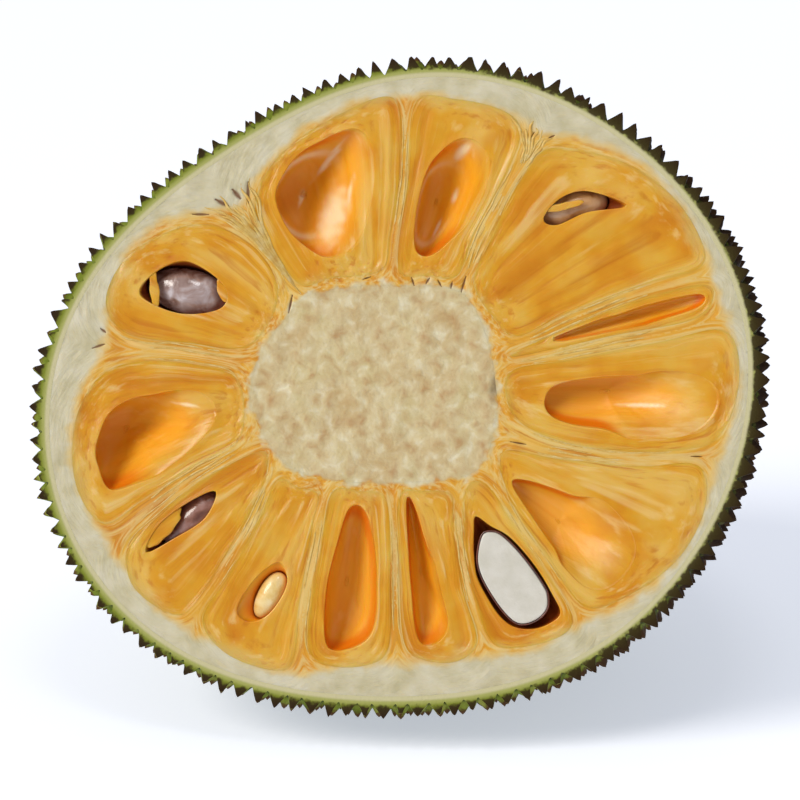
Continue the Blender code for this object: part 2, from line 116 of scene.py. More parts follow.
# The bulbs, clockwise from the upper left: outline on the cut face and depth; the hollow's mouth,
# its depth, how far its floor lies towards its steep wall, how soft the far lip is, and how much
# of a ledge runs round inside it
BULBS = {
    "bulb_01": {
        "outline": ((-36, 33.5), (-48, 50.5), (-51.5, 61), (-44.5, 75.5), (-26, 89.5),
                    (-6, 96.5), (-3, 75.5), (-5.5, 50), (-8.5, 38.5), (-25, 35.5)),
        "depth": 52,
        "mouth": ((-44.5, 60.5), (-43, 69), (-35, 79), (-20, 84.5), (-15, 79), (-14.5, 66),
                  (-18.5, 49), (-27, 43.5), (-38, 49)),
        "hollow": 17, "steep": (-9, 1), "soft": 0.8, "ledge": 0.8},
    "bulb_02": {
        "outline": ((-2.5, 39.5), (-0.5, 67), (1.5, 95), (15, 96.5), (31, 93), (37, 86),
                    (32.5, 71.5), (22.5, 52), (17.5, 37.5), (7.5, 37)),
        "depth": 50,
        "mouth": ((3, 45.5), (3, 60), (7.5, 75.5), (18, 82), (24.5, 75), (20, 60), (10, 45)),
        "hollow": 14, "steep": (-4, 0), "soft": 0.8, "ledge": 0.5},
    "bulb_03": {
        "outline": ((23, 35), (28.5, 50.5), (38, 71), (47.5, 80.5), (70, 77), (87, 66.5),
                    (97.5, 52), (98, 42), (80, 36), (55, 26), (38, 17.5), (30, 23.5)),
        "depth": 50,
        "mouth": ((45.5, 57), (51, 64), (60, 66.5), (73, 62), (60, 59.5), (50, 55)),
        "hollow": 6, "steep": (0, 2), "soft": 0.3},
    "bulb_04": {
        "outline": ((36, 11), (46, 16.5), (72.5, 28.5), (98, 36), (102.5, 32), (96, 24.5),
                    (69.5, 18.5), (44.5, 12.2)),
        "depth": 26,
        "mouth": ((50, 16.7), (62, 22), (80, 29), (98, 33.2), (97, 28.3), (75, 21.8)),
        "hollow": 5, "steep": (0, 1.5), "soft": 0.5},
    "bulb_05": {
        "outline": ((36, 5.5), (55, 10), (86, 17), (104, 21.5), (110.5, 16), (111.5, 2),
                    (107, -12), (98, -18), (72, -19.5), (50, -16), (37, -8)),
        "depth": 50,
        "mouth": ((47.5, -3.5), (53, 2.5), (75, 5.5), (98, 3), (102, -4), (92, -11.5),
                  (65, -12.5), (51, -9.5)),
        "hollow": 8, "steep": (-7, 4), "soft": 0.9},
    "bulb_06": {
        "outline": ((35.5, -20.5), (52, -22.8), (78, -24.5), (99, -24), (101.5, -38), (93, -55),
                    (77, -67.5), (63, -71.5), (52, -58), (40, -41.5), (34, -28)),
        "depth": 50,
        "mouth": ((37.5, -30.5), (50, -32), (67, -39.5), (76, -52), (68, -62.5), (56, -56.5),
                  (45, -43)),
        "hollow": 7.5, "steep": (-4, 1.3), "soft": 1.0},
    "bulb_07": {
        "outline": ((25.5, -31), (31, -34), (39.5, -46.5), (52, -63.5), (59, -77), (49, -84),
                    (33, -84.5), (26, -67), (21.8, -45), (22, -35)),
        "depth": 46,
        "mouth": ((25.7, -42.5), (31, -45.6), (36.8, -48.6), (42.3, -53.8), (47.6, -60.3),
                  (51.8, -67), (55, -73.8), (51, -77.8), (45.5, -79.6), (39.5, -79), (34.5, -75.4),
                  (30, -69), (26.6, -62.5), (25.4, -55), (25.2, -48)),
        "hollow": 10.5, "steep": (0, 0), "soft": 0.0},
    "bulb_08": {
        "outline": ((0.3, -37), (1, -60), (3, -84), (9, -90.5), (21, -91), (27.5, -84),
                    (22.5, -67.5), (18.5, -47), (17.5, -36), (8, -34.8)),
        "depth": 46,
        "mouth": ((2.5, -39), (6, -42), (12, -65), (16, -80), (9.5, -85), (5.5, -72)),
        "hollow": 10, "steep": (-0.5, 0), "soft": 0.7},
    "bulb_09": {
        "outline": ((-22.5, -36.5), (-25.5, -56), (-29, -84), (-24, -93), (-10, -93.5),
                    (-1.8, -87), (-2, -64), (-4, -38.5), (-13, -35.5)),
        "depth": 46,
        "mouth": ((-16, -41), (-10.5, -44), (-7.5, -65), (-9, -83.5), (-22, -88), (-23.5, -70),
                  (-20, -52)),
        "hollow": 13, "steep": (-2.5, 0), "soft": 0.4},
    "bulb_10": {
        "outline": ((-41, -33), (-48.5, -50.5), (-57, -66), (-64.5, -80), (-56, -91), (-40, -96),
                    (-33.5, -92), (-32, -73), (-28.5, -48), (-27, -37), (-34, -34.8)),
        "depth": 46,
        "mouth": ((-53, -76), (-47.5, -66), (-39.5, -60), (-36.5, -67), (-42, -77), (-49, -80)),
        "hollow": 4, "steep": (-2, 0), "soft": 0.6},
    "bulb_11": {
        "outline": ((-46.5, -23), (-64.5, -32.5), (-82, -47), (-90.5, -58), (-88, -70),
                    (-75, -78.5), (-67.5, -75), (-57, -57.5), (-48, -40), (-44.5, -30)),
        "depth": 46,
        "mouth": ((-84.5, -58), (-80, -48.5), (-70, -40.5), (-61.5, -37), (-65, -46),
                  (-75, -53)),
        "hollow": 7, "steep": (0, 2), "soft": 0.3},
    "bulb_12": {
        "outline": ((-55, 0), (-68, 5), (-87.5, 6), (-102, 0.5), (-110, -15), (-109, -36),
                    (-99, -49), (-86, -40.5), (-70, -29), (-54, -18.5)),
        "depth": 50,
        "mouth": ((-102.5, -21.5), (-98, -11), (-87, -5.5), (-70, -6.5), (-66, -13),
                  (-79, -26.5), (-96, -37.5), (-102, -29)),
        "hollow": 16, "steep": (-9, 3), "soft": 1.0},
    "bulb_13": {
        "outline": ((-96, 39), (-82.5, 49), (-67, 52.5), (-52, 46), (-43.5, 34), (-44.5, 22),
                    (-53.5, 11.5), (-72, 12.5), (-93, 15), (-101, 25)),
        "depth": 46,
        "mouth": ((-89.5, 28.5), (-84, 36.5), (-73.5, 40), (-61, 32), (-62, 24.5), (-76, 22.5)),
        "hollow": 8, "steep": (0, 2), "soft": 0.3},
}

# The seeds that are still in their bulbs: size along, across and through, place, turn in degrees,
# and how dark the painted shade in the gap round each is
SEEDS = {
    "seed_03": {"size": (26, 13, 12), "place": (54, 61.5, -8.2), "turn": 18, "gap": 0.9},
    "seed_07": {"size": (33, 18.5, 18), "place": (39, -62, 0), "turn": -55, "gap": 1.0},
    "seed_10": {"size": (17, 8.4, 7), "place": (-42.5, -71, -4.2), "turn": 62, "gap": 0.1},
    "seed_11": {"size": (27, 14, 13), "place": (-69, -46, -8.2), "turn": 42, "gap": 1.0},
    "seed_13": {"size": (28, 16, 15), "place": (-74.5, 30.5, -9.2), "turn": -12, "gap": 1.0},
}
# Their coats, for the whole ones: light, middle and dark colour, and roughness
COATS = (
    ("seed_03", "tan seed coat", "#d8b183", "#c08f58", "#96602f", 0.35),
    ("seed_10", "pale seed coat", "#e6cf96", "#e0bf74", "#d6a850", 0.45),
    ("seed_11", "rosy brown seed coat", "#a58078", "#845746", "#5e3324", 0.3),
    # The light colour of seed 13 is partly its grey coat and partly a painted bluish sheen
    ("seed_13", "wet brown seed coat", "#c4b9ba", "#9a827a", "#67463a", 0.22),
)
# The white kernel of seed 7, on the cut face
KERNEL = ((28.3, -49), (31.5, -47.8), (34.6, -48.9), (39.3, -53), (44.3, -58.7), (48.7, -64.7),
          (50.3, -68), (50.3, -72.3), (47.7, -75.7), (43.7, -77.6), (40, -77.2), (36, -73.7),
          (31.7, -68), (28.3, -62), (27, -56.3))

# Small tears in the rag: middle, length, width and direction in degrees
TEARS = (
    (-54, 63.5, 7.6, 1.3, 92), (-57.8, 63, 4.6, 1.9, -48), (-62.6, 60, 5.4, 1.8, -26),
    (-69.8, 56, 5.6, 1.1, 0), (-50.4, 60, 5.5, 1.0, 75), (-101.5, 16, 2.4, 1.1, -35),
    (-102.8, 10.8, 4.6, 1.0, 20),
    (39.6, 82, 9.0, 0.7, 63), (47.5, 84.5, 2.4, 0.8, 25), (39.5, -18, 5.4, 0.7, -8),
    (58.5, -25.2, 4.4, 0.5, -5), (98.5, -20.8, 3.6, 0.5, 0), (-63.6, -60, 6.0, 0.5, 40),
    (-88.8, -66.5, 3.0, 0.8, 75), (-38.4, 26.5, 6.0, 0.9, 80), (19.5, 34.5, 5.5, 0.9, 75),
    (2.5, 35.0, 3.0, 0.8, -70), (7.5, 35.4, 2.2, 0.9, 60), (11.5, 34.6, 2.6, 0.7, -60),
    (15.5, 34.2, 2.4, 0.8, 80), (-13, 35.8, 2.6, 0.6, 20), (-47, 18, 2.6, 0.6, 50),
)

# Torn film and wet membrane in the hollows: middle, length, width and direction in degrees
FILMS = (
    (-26, 57, 28, 13, 78), (-28, 77, 22, 2.6, 48), (-38, 64, 8, 2.0, 75), (-20, 66, 14, 2.4, 78),
    (17.5, 79.5, 9, 4.4, 40), (15, 65, 7, 3.0, 75), (9, 54, 10, 1.8, 68), (-73, -8, 12, 1.6, -8),
    (80, -4, 22, 2.0, 0),
)

# Membranes that lie across the seeds: middle, length, width and direction in degrees
MEMBRANES = ((-84.8, 30.6, 14, 3.0, 98), (-78.6, -49.8, 17, 4.6, 52), (52.5, 61.4, 13, 2.6, 14),
             (-61.4, 30.6, 8.5, 3.6, 115))
# Their rings, from underneath over the edge to the top: size and height
MEMBRANE_RINGS = ((0.4, -1.7), (0.8, -1.6), (1.0, -1.1), (1.03, -0.75), (0.98, -0.5),
                  (0.8, -0.38), (0.4, -0.4))
MEMBRANE_FOOT = -1.75
MEMBRANE_TOP = -0.4

# Fineness of the modelled surfaces: how many sides and rings the rounded ones have, and how far
# apart the points of the flat ones and of the outlines lie
BODY_SIDES = 480
STRAND_SIDES = 8
MEMBRANE_SIDES = 48
SEED_SIDES = 56
SEED_RINGS = 36
HOLLOW_RINGS = 26
RIND_RINGS = 16
PITH_RINGS = 14
RIND_SPACING = 0.8
PITH_SPACING = 0.95
FACE_SPACING = 1.1
LOOP_SPACING = 1.1
# How far the points inside a face are stirred, and kept from its edge, as shares of their
# spacing, and how far in millimetres extra points keep from the edge and from the others
GRID_STIR = 0.16
GRID_CLEARANCE = 0.55
EDGE_CLEARANCE = 0.2
EXTRA_CLEARANCE = 0.35

# How tightly the cut edges of the bulbs, the hollows and the seeds' beds are rolled
EDGE = 0.05
HOLLOW_LIP = 0.4
BED_LIP = 0.35
# How full the hollows' walls are, how far a ledge stands out, and the depth of full shade
HOLLOW_FULLNESS = 2.4
LEDGE_HEIGHT = 0.9
DEEP_SHADE = 9.0

# Where the streaks of the flesh have their stated width, and how far out they last
RAY_RADIUS = 60.0
RAY_LENGTH = 45.0

# How far the fields that colour the cut face run: out of the ring of bulbs, and from the core.
# Points inside the flesh and under the skin have these values of them.
RING_SPAN = (-40.0, 12.0)
HEART_SPAN = 40.0
IN_THE_FLESH = {"ring": -10.0, "heart": HEART_SPAN}
UNDER_THE_SKIN = {"layer": 9.0, "ring": RING_SPAN[1], "heart": HEART_SPAN}
# How thick the flesh's layers lie before they die away
LAYER_REACH = 5.0
# How many degrees to each side the ring's edge is spread and then blurred
RING_TURN = 5
RING_BLUR = 8

# Half the floor's width in metres, and the lights: kind, place in metres, angle or size, power
# and colour
FLOOR_REACH = 6.0
LIGHTS = (("window", "SUN", (-0.62, -0.5, 0.6), math.radians(28), 2.2, "#fffaf2"),
          ("sheen", "AREA", (0.1, -0.7, 1.5), 0.35, 3.0, "#ffffff"))

# The camera: degrees round to the right and up, metres away, the width that it frames there, and
# the picture's middle from the cut face's middle
CAMERA_ROUND = 5.5
CAMERA_RISE = 16.0
CAMERA_REACH = 1.1
SENSOR = 36.0
PICTURE_WIDTH = 266.7
PICTURE_MIDDLE = (-0.7, -4.7)


def smooth_step(value):
    """An even rise from 0 to 1."""
    value = np.clip(value, 0.0, 1.0)
    return value * value * (3.0 - 2.0 * value)


def body_radius(angle, depth, inset=0.0):
    """Radius of the body at the foot of the spines, or of a surface inset from it."""
    face = FACE_RADIUS
    for swells, height, crest in FACE_WAVES:
        face = face + height * np.cos(swells * (angle - math.radians(crest)))
    half_width = DEEP_WIDTH / 2
    half_height = DEEP_HEIGHT / 2
    deep = half_width * half_height / np.hypot(half_height * np.cos(angle),
                                               half_width * np.sin(angle))
    blend_in = smooth_step(depth / BLEND_DEPTH)
    share = np.clip(np.abs(depth) / (HALF_DEPTH - inset), 0.0, 1.0)
    profile = np.sqrt(1.0 - share ** ROUNDING)
    return (face * (1.0 - blend_in) + deep * blend_in - inset) * profile


def body_points(angle, depth, inset=0.0):
    """Points of the body's surface in the fruit's frame."""
    angle, depth = np.broadcast_arrays(angle, depth)
    radius = body_radius(angle, depth, inset)
    return np.stack([radius * np.cos(angle), radius * np.sin(angle), -depth], -1)


def fruit_frame():
    """The fruit's frame in the world: it leans back and stands on its flat spot."""
    turn = np.array(Euler((math.radians(90.0 - LEAN_BACK), 0, 0)).to_matrix())
    angle, depth = np.meshgrid(np.linspace(0, 2 * math.pi, 720, endpoint=False),
                               np.linspace(0, HALF_DEPTH * 0.9, 200))
    spots = body_points(angle.ravel(), depth.ravel()) @ turn.T
    lowest = spots[spots[:, 2].argmin()]
    lift = Vector(-lowest - np.array([0, 0, FLAT_DEPTH]))
    return Matrix.LocRotScale(lift * MM, Matrix(turn.tolist()), None)


FRUIT = fruit_frame()


def all_round(count):
    """Even angles all the way round."""
    return np.linspace(0.0, 2 * math.pi, count, endpoint=False)


def ripple(points, wavelength, seed=0.0):
    """Smooth noise from -1 to 1 at points in millimetres, with waves of a given length."""
    return np.array([noise.noise(Vector(point) / wavelength + Vector((0, 0, seed)))
                     for point in np.asarray(points).tolist()])


def flat(points, height=0.0):
    """Points on the cut face, raised to a height."""
    return np.column_stack([points, np.broadcast_to(height, len(points))])


def smooth_loop(points, spacing=LOOP_SPACING):
    """A closed smooth curve through a few points, evenly spaced and counter-clockwise."""
    fine = []
    total = len(points)
    for index in range(total):
        p0, p1, p2, p3 = (np.array(points[(index + shift) % total], float)
                          for shift in (-1, 0, 1, 2))
        for t in np.linspace(0.0, 1.0, 12, endpoint=False):
            fine.append(0.5 * (2 * p1 + (p2 - p0) * t + (2 * p0 - 5 * p1 + 4 * p2 - p3) * t ** 2
                               + (3 * p1 - p0 - 3 * p2 + p3) * t ** 3))
    fine = np.array(fine + [fine[0]])
    turning = np.sum(fine[:-1, 0] * fine[1:, 1] - fine[1:, 0] * fine[:-1, 1])
    if turning < 0:
        fine = fine[::-1]
    walked = np.concatenate([[0.0], np.cumsum(np.hypot(*np.diff(fine, axis=0).T))])
    stops = np.linspace(0.0, walked[-1], int(walked[-1] / spacing), endpoint=False)
    return np.column_stack([np.interp(stops, walked, fine[:, axis]) for axis in (0, 1)])


def grown(loop, margin):
    """A loop moved outwards by a margin, the same all round or one for each point."""
    along = np.roll(loop, -1, axis=0) - np.roll(loop, 1, axis=0)
    outward = np.column_stack([along[:, 1], -along[:, 0]])
    outward /= np.hypot(*outward.T)[:, None]
    return loop + np.broadcast_to(margin, len(loop))[:, None] * outward


def turned(points, middle, degrees):
    """Points of the cut face seen from a middle, along a direction and aside from it."""
    turn = math.radians(degrees)
    x, y = (np.asarray(points)[:, :2] - middle).T
    return x * math.cos(turn) + y * math.sin(turn), y * math.cos(turn) - x * math.sin(turn)


def set_down(along, aside, middle, degrees):
    """Places along a direction and aside from it, back on the cut face."""
    turn = math.radians(degrees)
    return middle + np.column_stack([along * math.cos(turn) - aside * math.sin(turn),
                                     along * math.sin(turn) + aside * math.cos(turn)])


def within(points, loop):
    """Which points lie inside a loop."""
    x1, y1 = loop.T
    x2, y2 = np.roll(loop, -1, axis=0).T
    slope = (x2 - x1) / np.where(y2 == y1, 1e-9, y2 - y1)
    answers = []
    for share in np.array_split(np.asarray(points)[:, :2], len(points) // 2000 + 1):
        x, y = share[:, :1], share[:, 1:]
        crosses = (y1 > y) != (y2 > y)
        answers.append((crosses & (x < slope * (y - y1) + x1)).sum(axis=1) % 2 == 1)
    return np.concatenate(answers)


def between(points, outer, *holes):
    """Which points lie inside a loop and outside the holes in it."""
    inside = within(points, outer)
    for hole in holes:
        inside &= ~within(points, hole)
    return inside


def distance(points, *loops):
    """How far each point lies from the nearest point of some loops."""
    spots = np.concatenate(loops)[:, :2].tolist()
    tree = KDTree(len(spots))
    for index, (x, y) in enumerate(spots):
        tree.insert((x, y, 0), index)
    tree.balance()
    return np.array([tree.find((x, y, 0))[2] for x, y in np.asarray(points)[:, :2].tolist()])


OUTLINES = {name: smooth_loop(bulb["outline"]) for name, bulb in BULBS.items()}
CORE_LOOP = smooth_loop(CORE_OUTLINE)


def ring_reach():
    """How far the bulbs' outer ends reach from the core's middle, evened out, by whole degrees."""
    spots = np.concatenate(list(OUTLINES.values())) - CORE_MIDDLE
    degrees = np.degrees(np.arctan2(spots[:, 1], spots[:, 0])).astype(int) % 360
    reach = np.zeros(360)
    np.maximum.at(reach, degrees, np.hypot(*spots.T))
    reach = np.max([np.roll(reach, shift) for shift in range(-RING_TURN, RING_TURN + 1)], axis=0)
    weights = np.hanning(2 * RING_BLUR + 1)
    shares = [np.roll(reach, shift) * weight
              for shift, weight in zip(range(-RING_BLUR, RING_BLUR + 1), weights)]
    return np.sum(shares, axis=0) / weights.sum()


RING = ring_reach()


def face_fields(spots, layer):
    """What colours the cut face: its layers, and how far out of the ring and the core it lies."""
    out = np.asarray(spots)[:, :2] - CORE_MIDDLE
    degrees = np.degrees(np.arctan2(out[:, 1], out[:, 0])) % 360
    ring = np.hypot(*out.T) - np.interp(degrees, np.arange(361), np.append(RING, RING[0]))
    return {"layer": layer, "ring": np.clip(ring, *RING_SPAN),
            "heart": np.minimum(distance(spots, CORE_LOOP), HEART_SPAN)}


def streaked(spots, layer, thick, wide, seed=0.0):
    """Noise in streaks that follow the layers of the flesh, and the rays from the core."""
    out = np.asarray(spots)[:, :2] - CORE_MIDDLE
    far = np.hypot(*out.T)
    rays = out / far[:, None] * RAY_RADIUS / wide
    return ripple(np.column_stack([rays, layer / thick + far / RAY_LENGTH]), 1.0, seed)


class Shell:
    """A mesh as it grows: its points, its faces and the fields that its finish reads."""

    def __init__(self, *fields):
        self.points = []
        self.faces = []
        self.fields = {name: [] for name in fields}
        self.count = 0

    def add(self, points, **fields):
        """Add points with their fields, and return their numbers."""
        points = np.asarray(points, float).reshape(-1, 3)
        self.points.append(points)
        for name, values in self.fields.items():
            values.append(np.broadcast_to(fields.get(name, 0.0), len(points)).astype(float))
        self.count += len(points)
        return np.arange(self.count - len(points), self.count)

    def skin(self, rings, tip, base=None, **fields):
        """Join each ring with the next, and close the last with a fan to a tip.

        The first is closed in the same way where a base is given."""
        for ring, after in zip(rings, rings[1:]):
            self.faces += np.column_stack([ring, np.roll(ring, -1), np.roll(after, -1),
                                           after]).tolist()
        fans = [(rings[-1], tip)] if base is None else [(rings[0][::-1], base), (rings[-1], tip)]
        for ring, point in fans:
            end = int(self.add([point], **fields)[0])
            self.faces += [[int(a), int(b), end] for a, b in zip(ring, np.roll(ring, -1))]

    def fill(self, outer, holes, spacing, shape, extra=None):
        """Fill the flat region between rings with fine triangles.

        shape turns the new flat points into points in space and their fields, and extra gives
        more flat points where the region needs them. The face keeps points of its own along the
        rings, so that its edge is crisp."""
        placed = np.concatenate(self.points)
        loops = [placed[ring][:, :2] for ring in [outer, *holes]]
        draw = np.random.default_rng(len(outer))
        low, high = loops[0].min(axis=0), loops[0].max(axis=0)
        rows = np.arange(low[1], high[1], spacing * HEX_ROW)
        columns = np.arange(low[0], high[0], spacing)
        grid = np.array([(x + spacing * 0.5 * (index % 2), y)
                         for index, y in enumerate(rows) for x in columns])
        grid += draw.uniform(-GRID_STIR, GRID_STIR, grid.shape) * spacing
        grid = grid[between(grid, *loops)]
        grid = grid[distance(grid, *loops) > spacing * GRID_CLEARANCE]
        if extra is not None:
            extra = extra[between(extra, *loops)]
            extra = extra[distance(extra, *loops) > EDGE_CLEARANCE]
            grid = np.concatenate([grid[distance(grid, extra) > EXTRA_CLEARANCE], extra])
        flat_points = np.concatenate([*loops, grid])
        numbers = []
        for ring, loop in zip([outer, *holes], loops):
            numbers += self.add(placed[ring], **shape(loop)[1]).tolist()
        edges = []
        start = 0
        for loop in loops:
            count = len(loop)
            edges += [(start + step, start + (step + 1) % count) for step in range(count)]
            start += count
        spots, _, triangles, sources, *_ = delaunay_2d_cdt(
            [Vector(spot) for spot in flat_points.tolist()], edges, [], 0, 1e-7)
        space, fields = shape(grid)
        numbers += self.add(space, **fields).tolist()
        spots, triangles = np.array(spots), np.array(triangles)
        crossings = [index for index, source in enumerate(sources) if not source]
        if crossings:
            added = self.add(flat(spots[crossings]), **shape(spots[crossings])[1]).tolist()
        lookup = [numbers[source[0]] if source else added[crossings.index(index)]
                  for index, source in enumerate(sources)]
        inside = between(spots[triangles].mean(axis=1), *loops)
        self.faces += [[lookup[a], lookup[b], lookup[c]] for a, b, c in triangles[inside]]

    def piece(self, name, finish, slot, *nodes):
        """Turn the shell into an object that rides on the fruit and stands for its nodes."""
        data = bmesh.new()
        layers = {field: data.verts.layers.float.new(field) for field in self.fields}
        spots = [data.verts.new(FRUIT @ Vector(point))
                 for point in (np.concatenate(self.points) * MM).tolist()]
        for field, values in self.fields.items():
            for spot, value in zip(spots, np.concatenate(values).tolist()):
                spot[layers[field]] = value
        for face in self.faces:
            data.faces.new([spots[index] for index in face])
        bmesh.ops.recalc_face_normals(data, faces=data.faces[:])
        mesh = bpy.data.meshes.new(name)
        data.to_mesh(mesh)
        data.free()
        mesh.materials.append(finish)
        mesh.shade_smooth()
        thing = bpy.data.objects.new(name, mesh)
        bpy.context.scene.collection.objects.link(thing)
        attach(thing, "root")
        if nodes:
            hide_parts(*nodes)
        return thing


def linear(colour):
    """An sRGB hex colour as linear red, green, blue and alpha."""
    parts = [int(colour[index:index + 2], 16) / 255 for index in (1, 3, 5)]
    return (*[part / 12.92 if part <= 0.04045 else ((part + 0.055) / 1.055) ** 2.4
              for part in parts], 1.0)


def add_node(tree, kind, links=(), out=0, ramp=(), **settings):
    """Add a node with its settings, links and ramp stops, and return one of its outputs.

    kind is the node's type without ShaderNode in front. links gives what the inputs take: another
    node's output, a number, a vector or a colour."""
    node = tree.nodes.new("ShaderNode" + kind)
    for key, value in settings.items():
        setattr(node, key, value)
    for key, value in links.items() if isinstance(links, dict) else enumerate(links):
        if isinstance(value, bpy.types.NodeSocket):
            tree.links.new(value, node.inputs[key])
        else:
            node.inputs[key].default_value = linear(value) if isinstance(value, str) else value
    for index, (position, colour) in enumerate(ramp):
        stops = node.color_ramp.elements
        stop = stops[index] if index < 2 else stops.new(position)
        stop.position = position
        stop.color = linear(colour)
    return node.outputs[out]


def start_finish(name, *fields):
    """A material, its tree, where a point is in millimetres, and the mesh's own fields there."""
    material = bpy.data.materials.new(name)
    material.use_nodes = True
    tree = material.node_tree
    place = add_node(tree, "TexCoord", out="Object")
    place = add_node(tree, "Mapping", (place, FRUIT.translation, FRUIT.to_euler()),
                     vector_type="TEXTURE")
    place = add_node(tree, "VectorMath", {0: place, "Scale": 1000.0}, operation="SCALE")
    return (material, tree, place,
            *[add_node(tree, "Attribute", out="Fac", attribute_name=field) for field in fields])


def speckle(tree, place, length, detail=2.0, distort=0.0):
    """A cloudy pattern with waves of a real length in millimetres."""
    scaled = add_node(tree, "VectorMath", {0: place, "Scale": 1 / length}, operation="SCALE")
    return add_node(tree, "TexNoise",
                    {"Vector": scaled, "Scale": 1.0, "Detail": detail, "Distortion": distort})


def layered(tree, place, layer, thick, wide, detail=2.0):
    """Streaks across the layers of the flesh and along the rays from the core, sized in mm."""
    out = add_node(tree, "VectorMath",
                   (place, (1.0, 1.0, 0.0), (-CORE_MIDDLE[0], -CORE_MIDDLE[1], 0.0)),
                   operation="MULTIPLY_ADD")
    ray = add_node(tree, "VectorMath", (out,), operation="NORMALIZE")
    ray = add_node(tree, "VectorMath", {0: ray, "Scale": RAY_RADIUS / wide}, operation="SCALE")
    far = add_node(tree, "VectorMath", (out,), "Value", operation="LENGTH")
    far = add_node(tree, "Math", (far, 1 / RAY_LENGTH), operation="MULTIPLY")
    deep = add_node(tree, "Math", (layer, 1 / thick, far), operation="MULTIPLY_ADD")
    return speckle(tree, add_node(tree, "VectorMath", (
        ray, add_node(tree, "CombineXYZ", (0.0, 0.0, deep))), operation="ADD"), 1.0, detail)


def lay(tree, colour, over, value, low, high, top=1.0):
    """Lay a colour over another where a value goes from low to high, up to a top share."""
    share = add_node(tree, "MapRange", (value, low, high, 0.0, top),
                     interpolation_type="SMOOTHSTEP")
    return add_node(tree, "Mix", {0: share, 6: colour, 7: over}, 2, data_type="RGBA")


def finish_with(material, tree, colour, reliefs, **values):
    """Give the shader its colour, its relief in real millimetres and its set values."""
    shader = material.node_tree.nodes["Principled BSDF"]
    normal = None
    for height, depth in reliefs:
        links = {"Height": height, "Distance": depth * MM}
        if normal is not None:
            links["Normal"] = normal
        normal = add_node(tree, "Bump", links)
    tree.links.new(normal, shader.inputs["Normal"])
    tree.links.new(colour, shader.inputs["Base Color"])
    for name, value in values.items():
        shader.inputs[name.replace("_", " ")].default_value = value
    return material


def cream_core(tree, place, heart):
    """The colour of the sliced core: cream, clouded and dotted with tan vessel ends.

    With it come its blotches, and how far from the core a point is, made uneven by them."""
    blotch = speckle(tree, place, 5.0, 2.0, 0.3)
    patch = speckle(tree, place, 14.0, 4.0, 0.4)
    cream = add_node(tree, "ValToRGB", (patch,),
                     ramp=((0.34, "#bda575"), (0.5, "#c8b78c"), (0.66, "#c3b282")))
    spotted = lay(tree, cream, "#ab8250", blotch, 0.46, 0.86, 0.95)
    near_core = add_node(tree, "Math", (blotch, 8.0, heart), operation="MULTIPLY_ADD")
    return lay(tree, spotted, "#dcd5b8", blotch, 0.52, 0.14, 0.95), blotch, near_core


def layered_flesh(tree, place, layer):
    """The colour of ripe flesh: orange, in thin layers of lighter and deeper shade."""
    cloud = speckle(tree, place, 17.0, 3.0)
    flesh = add_node(tree, "ValToRGB", (cloud,),
                     ramp=((0.32, "#cb850f"), (0.5, "#d3981f"), (0.68, "#d5a63c")))
    broad = layered(tree, place, layer, 5.0, 9.0)
    fine = layered(tree, place, layer, 1.2, 3.2, 4.0)
    flesh = lay(tree, flesh, "#d9b257", broad, 0.5, 0.72, 0.8)
    flesh = lay(tree, flesh, "#c27606", broad, 0.47, 0.28, 0.7)
    flesh = lay(tree, flesh, "#e0c07c", fine, 0.53, 0.72, 0.62)
    return lay(tree, flesh, "#b86806", fine, 0.46, 0.28, 0.6), broad, fine


def rind_finish():
    """Fresh jackfruit rind: each spine a blunt green cone, brown and dry at its tip, with painted
    shade in the valleys between the spines and over the right side, away from the light.
    """
    material, tree, place, height, dark, peel = start_finish("fresh spiny rind",
                                                             "height", "dark", "peel")
    patches = speckle(tree, place, 9.0)
    grain = speckle(tree, place, 1.1, 3.0)
    spots = speckle(tree, place, 2.4, 3.0)
    green = add_node(tree, "ValToRGB", (patches,),
                     ramp=((0.3, "#556318"), (0.5, "#748128"), (0.7, "#8b8f3c")))
    # Painted shade: the valleys between the spines are darkened to a deep green
    green = lay(tree, green, "#2c3010", height, 0.3, 0.0)
    # The dark field is real browning together with painted shade on the side away from the light:
    # it spreads the brown tips and deepens their brown
    dried_and_shaded = add_node(tree, "Math", (dark, 0.7, height), operation="MULTIPLY_ADD")
    dried_and_shaded = add_node(tree, "Math", (grain, 0.5, dried_and_shaded), operation="MULTIPLY_ADD")
    brown = add_node(tree, "Mix", {0: dark, 6: "#5c3d1e", 7: "#35220f"}, 2, data_type="RGBA")
    outside = lay(tree, green, brown, dried_and_shaded, 0.98, 1.32)
    # Painted shade with real blackening: near-black laid over the spines where the dark field is
    # high
    blackened_and_shaded = add_node(tree, "Math", (spots, 0.7, dark), operation="MULTIPLY_ADD")
    outside = lay(tree, outside, "#20140c", blackened_and_shaded, 1.1, 1.55, 0.8)
    cut_skin = add_node(tree, "MapRange", (peel, -4.8, 2.2))
    cut_skin = add_node(tree, "ValToRGB", (cut_skin,),
                        ramp=((0.05, "#3a2712"), (0.3, "#585c1c"), (0.55, "#78802c"),
                              (0.72, "#9c9e58")))
    # Painted shade with real browning: the cut skin goes dark brown where the dark field is high
    browned_and_shaded = add_node(tree, "Math", (peel, -0.3, dark), operation="MULTIPLY_ADD")
    browned_and_shaded = add_node(tree, "Math", (spots, 1.3, browned_and_shaded), operation="MULTIPLY_ADD")
    cut_skin = lay(tree, cut_skin, "#2c1c0e", browned_and_shaded, 1.15, 1.6, 0.92)
    cut_skin = lay(tree, cut_skin, "#bfb88f", peel, 0.4, 1.5)
    level = add_node(tree, "SeparateXYZ", (place,), 2)
    on_cut = add_node(tree, "Math", (level, -0.04), operation="GREATER_THAN")
    colour = add_node(tree, "Mix", {0: on_cut, 6: outside, 7: cut_skin}, 2, data_type="RGBA")
    return finish_with(material, tree, colour, ((grain, 0.25),), Roughness=0.62,
                       Specular_IOR_Level=0.08)


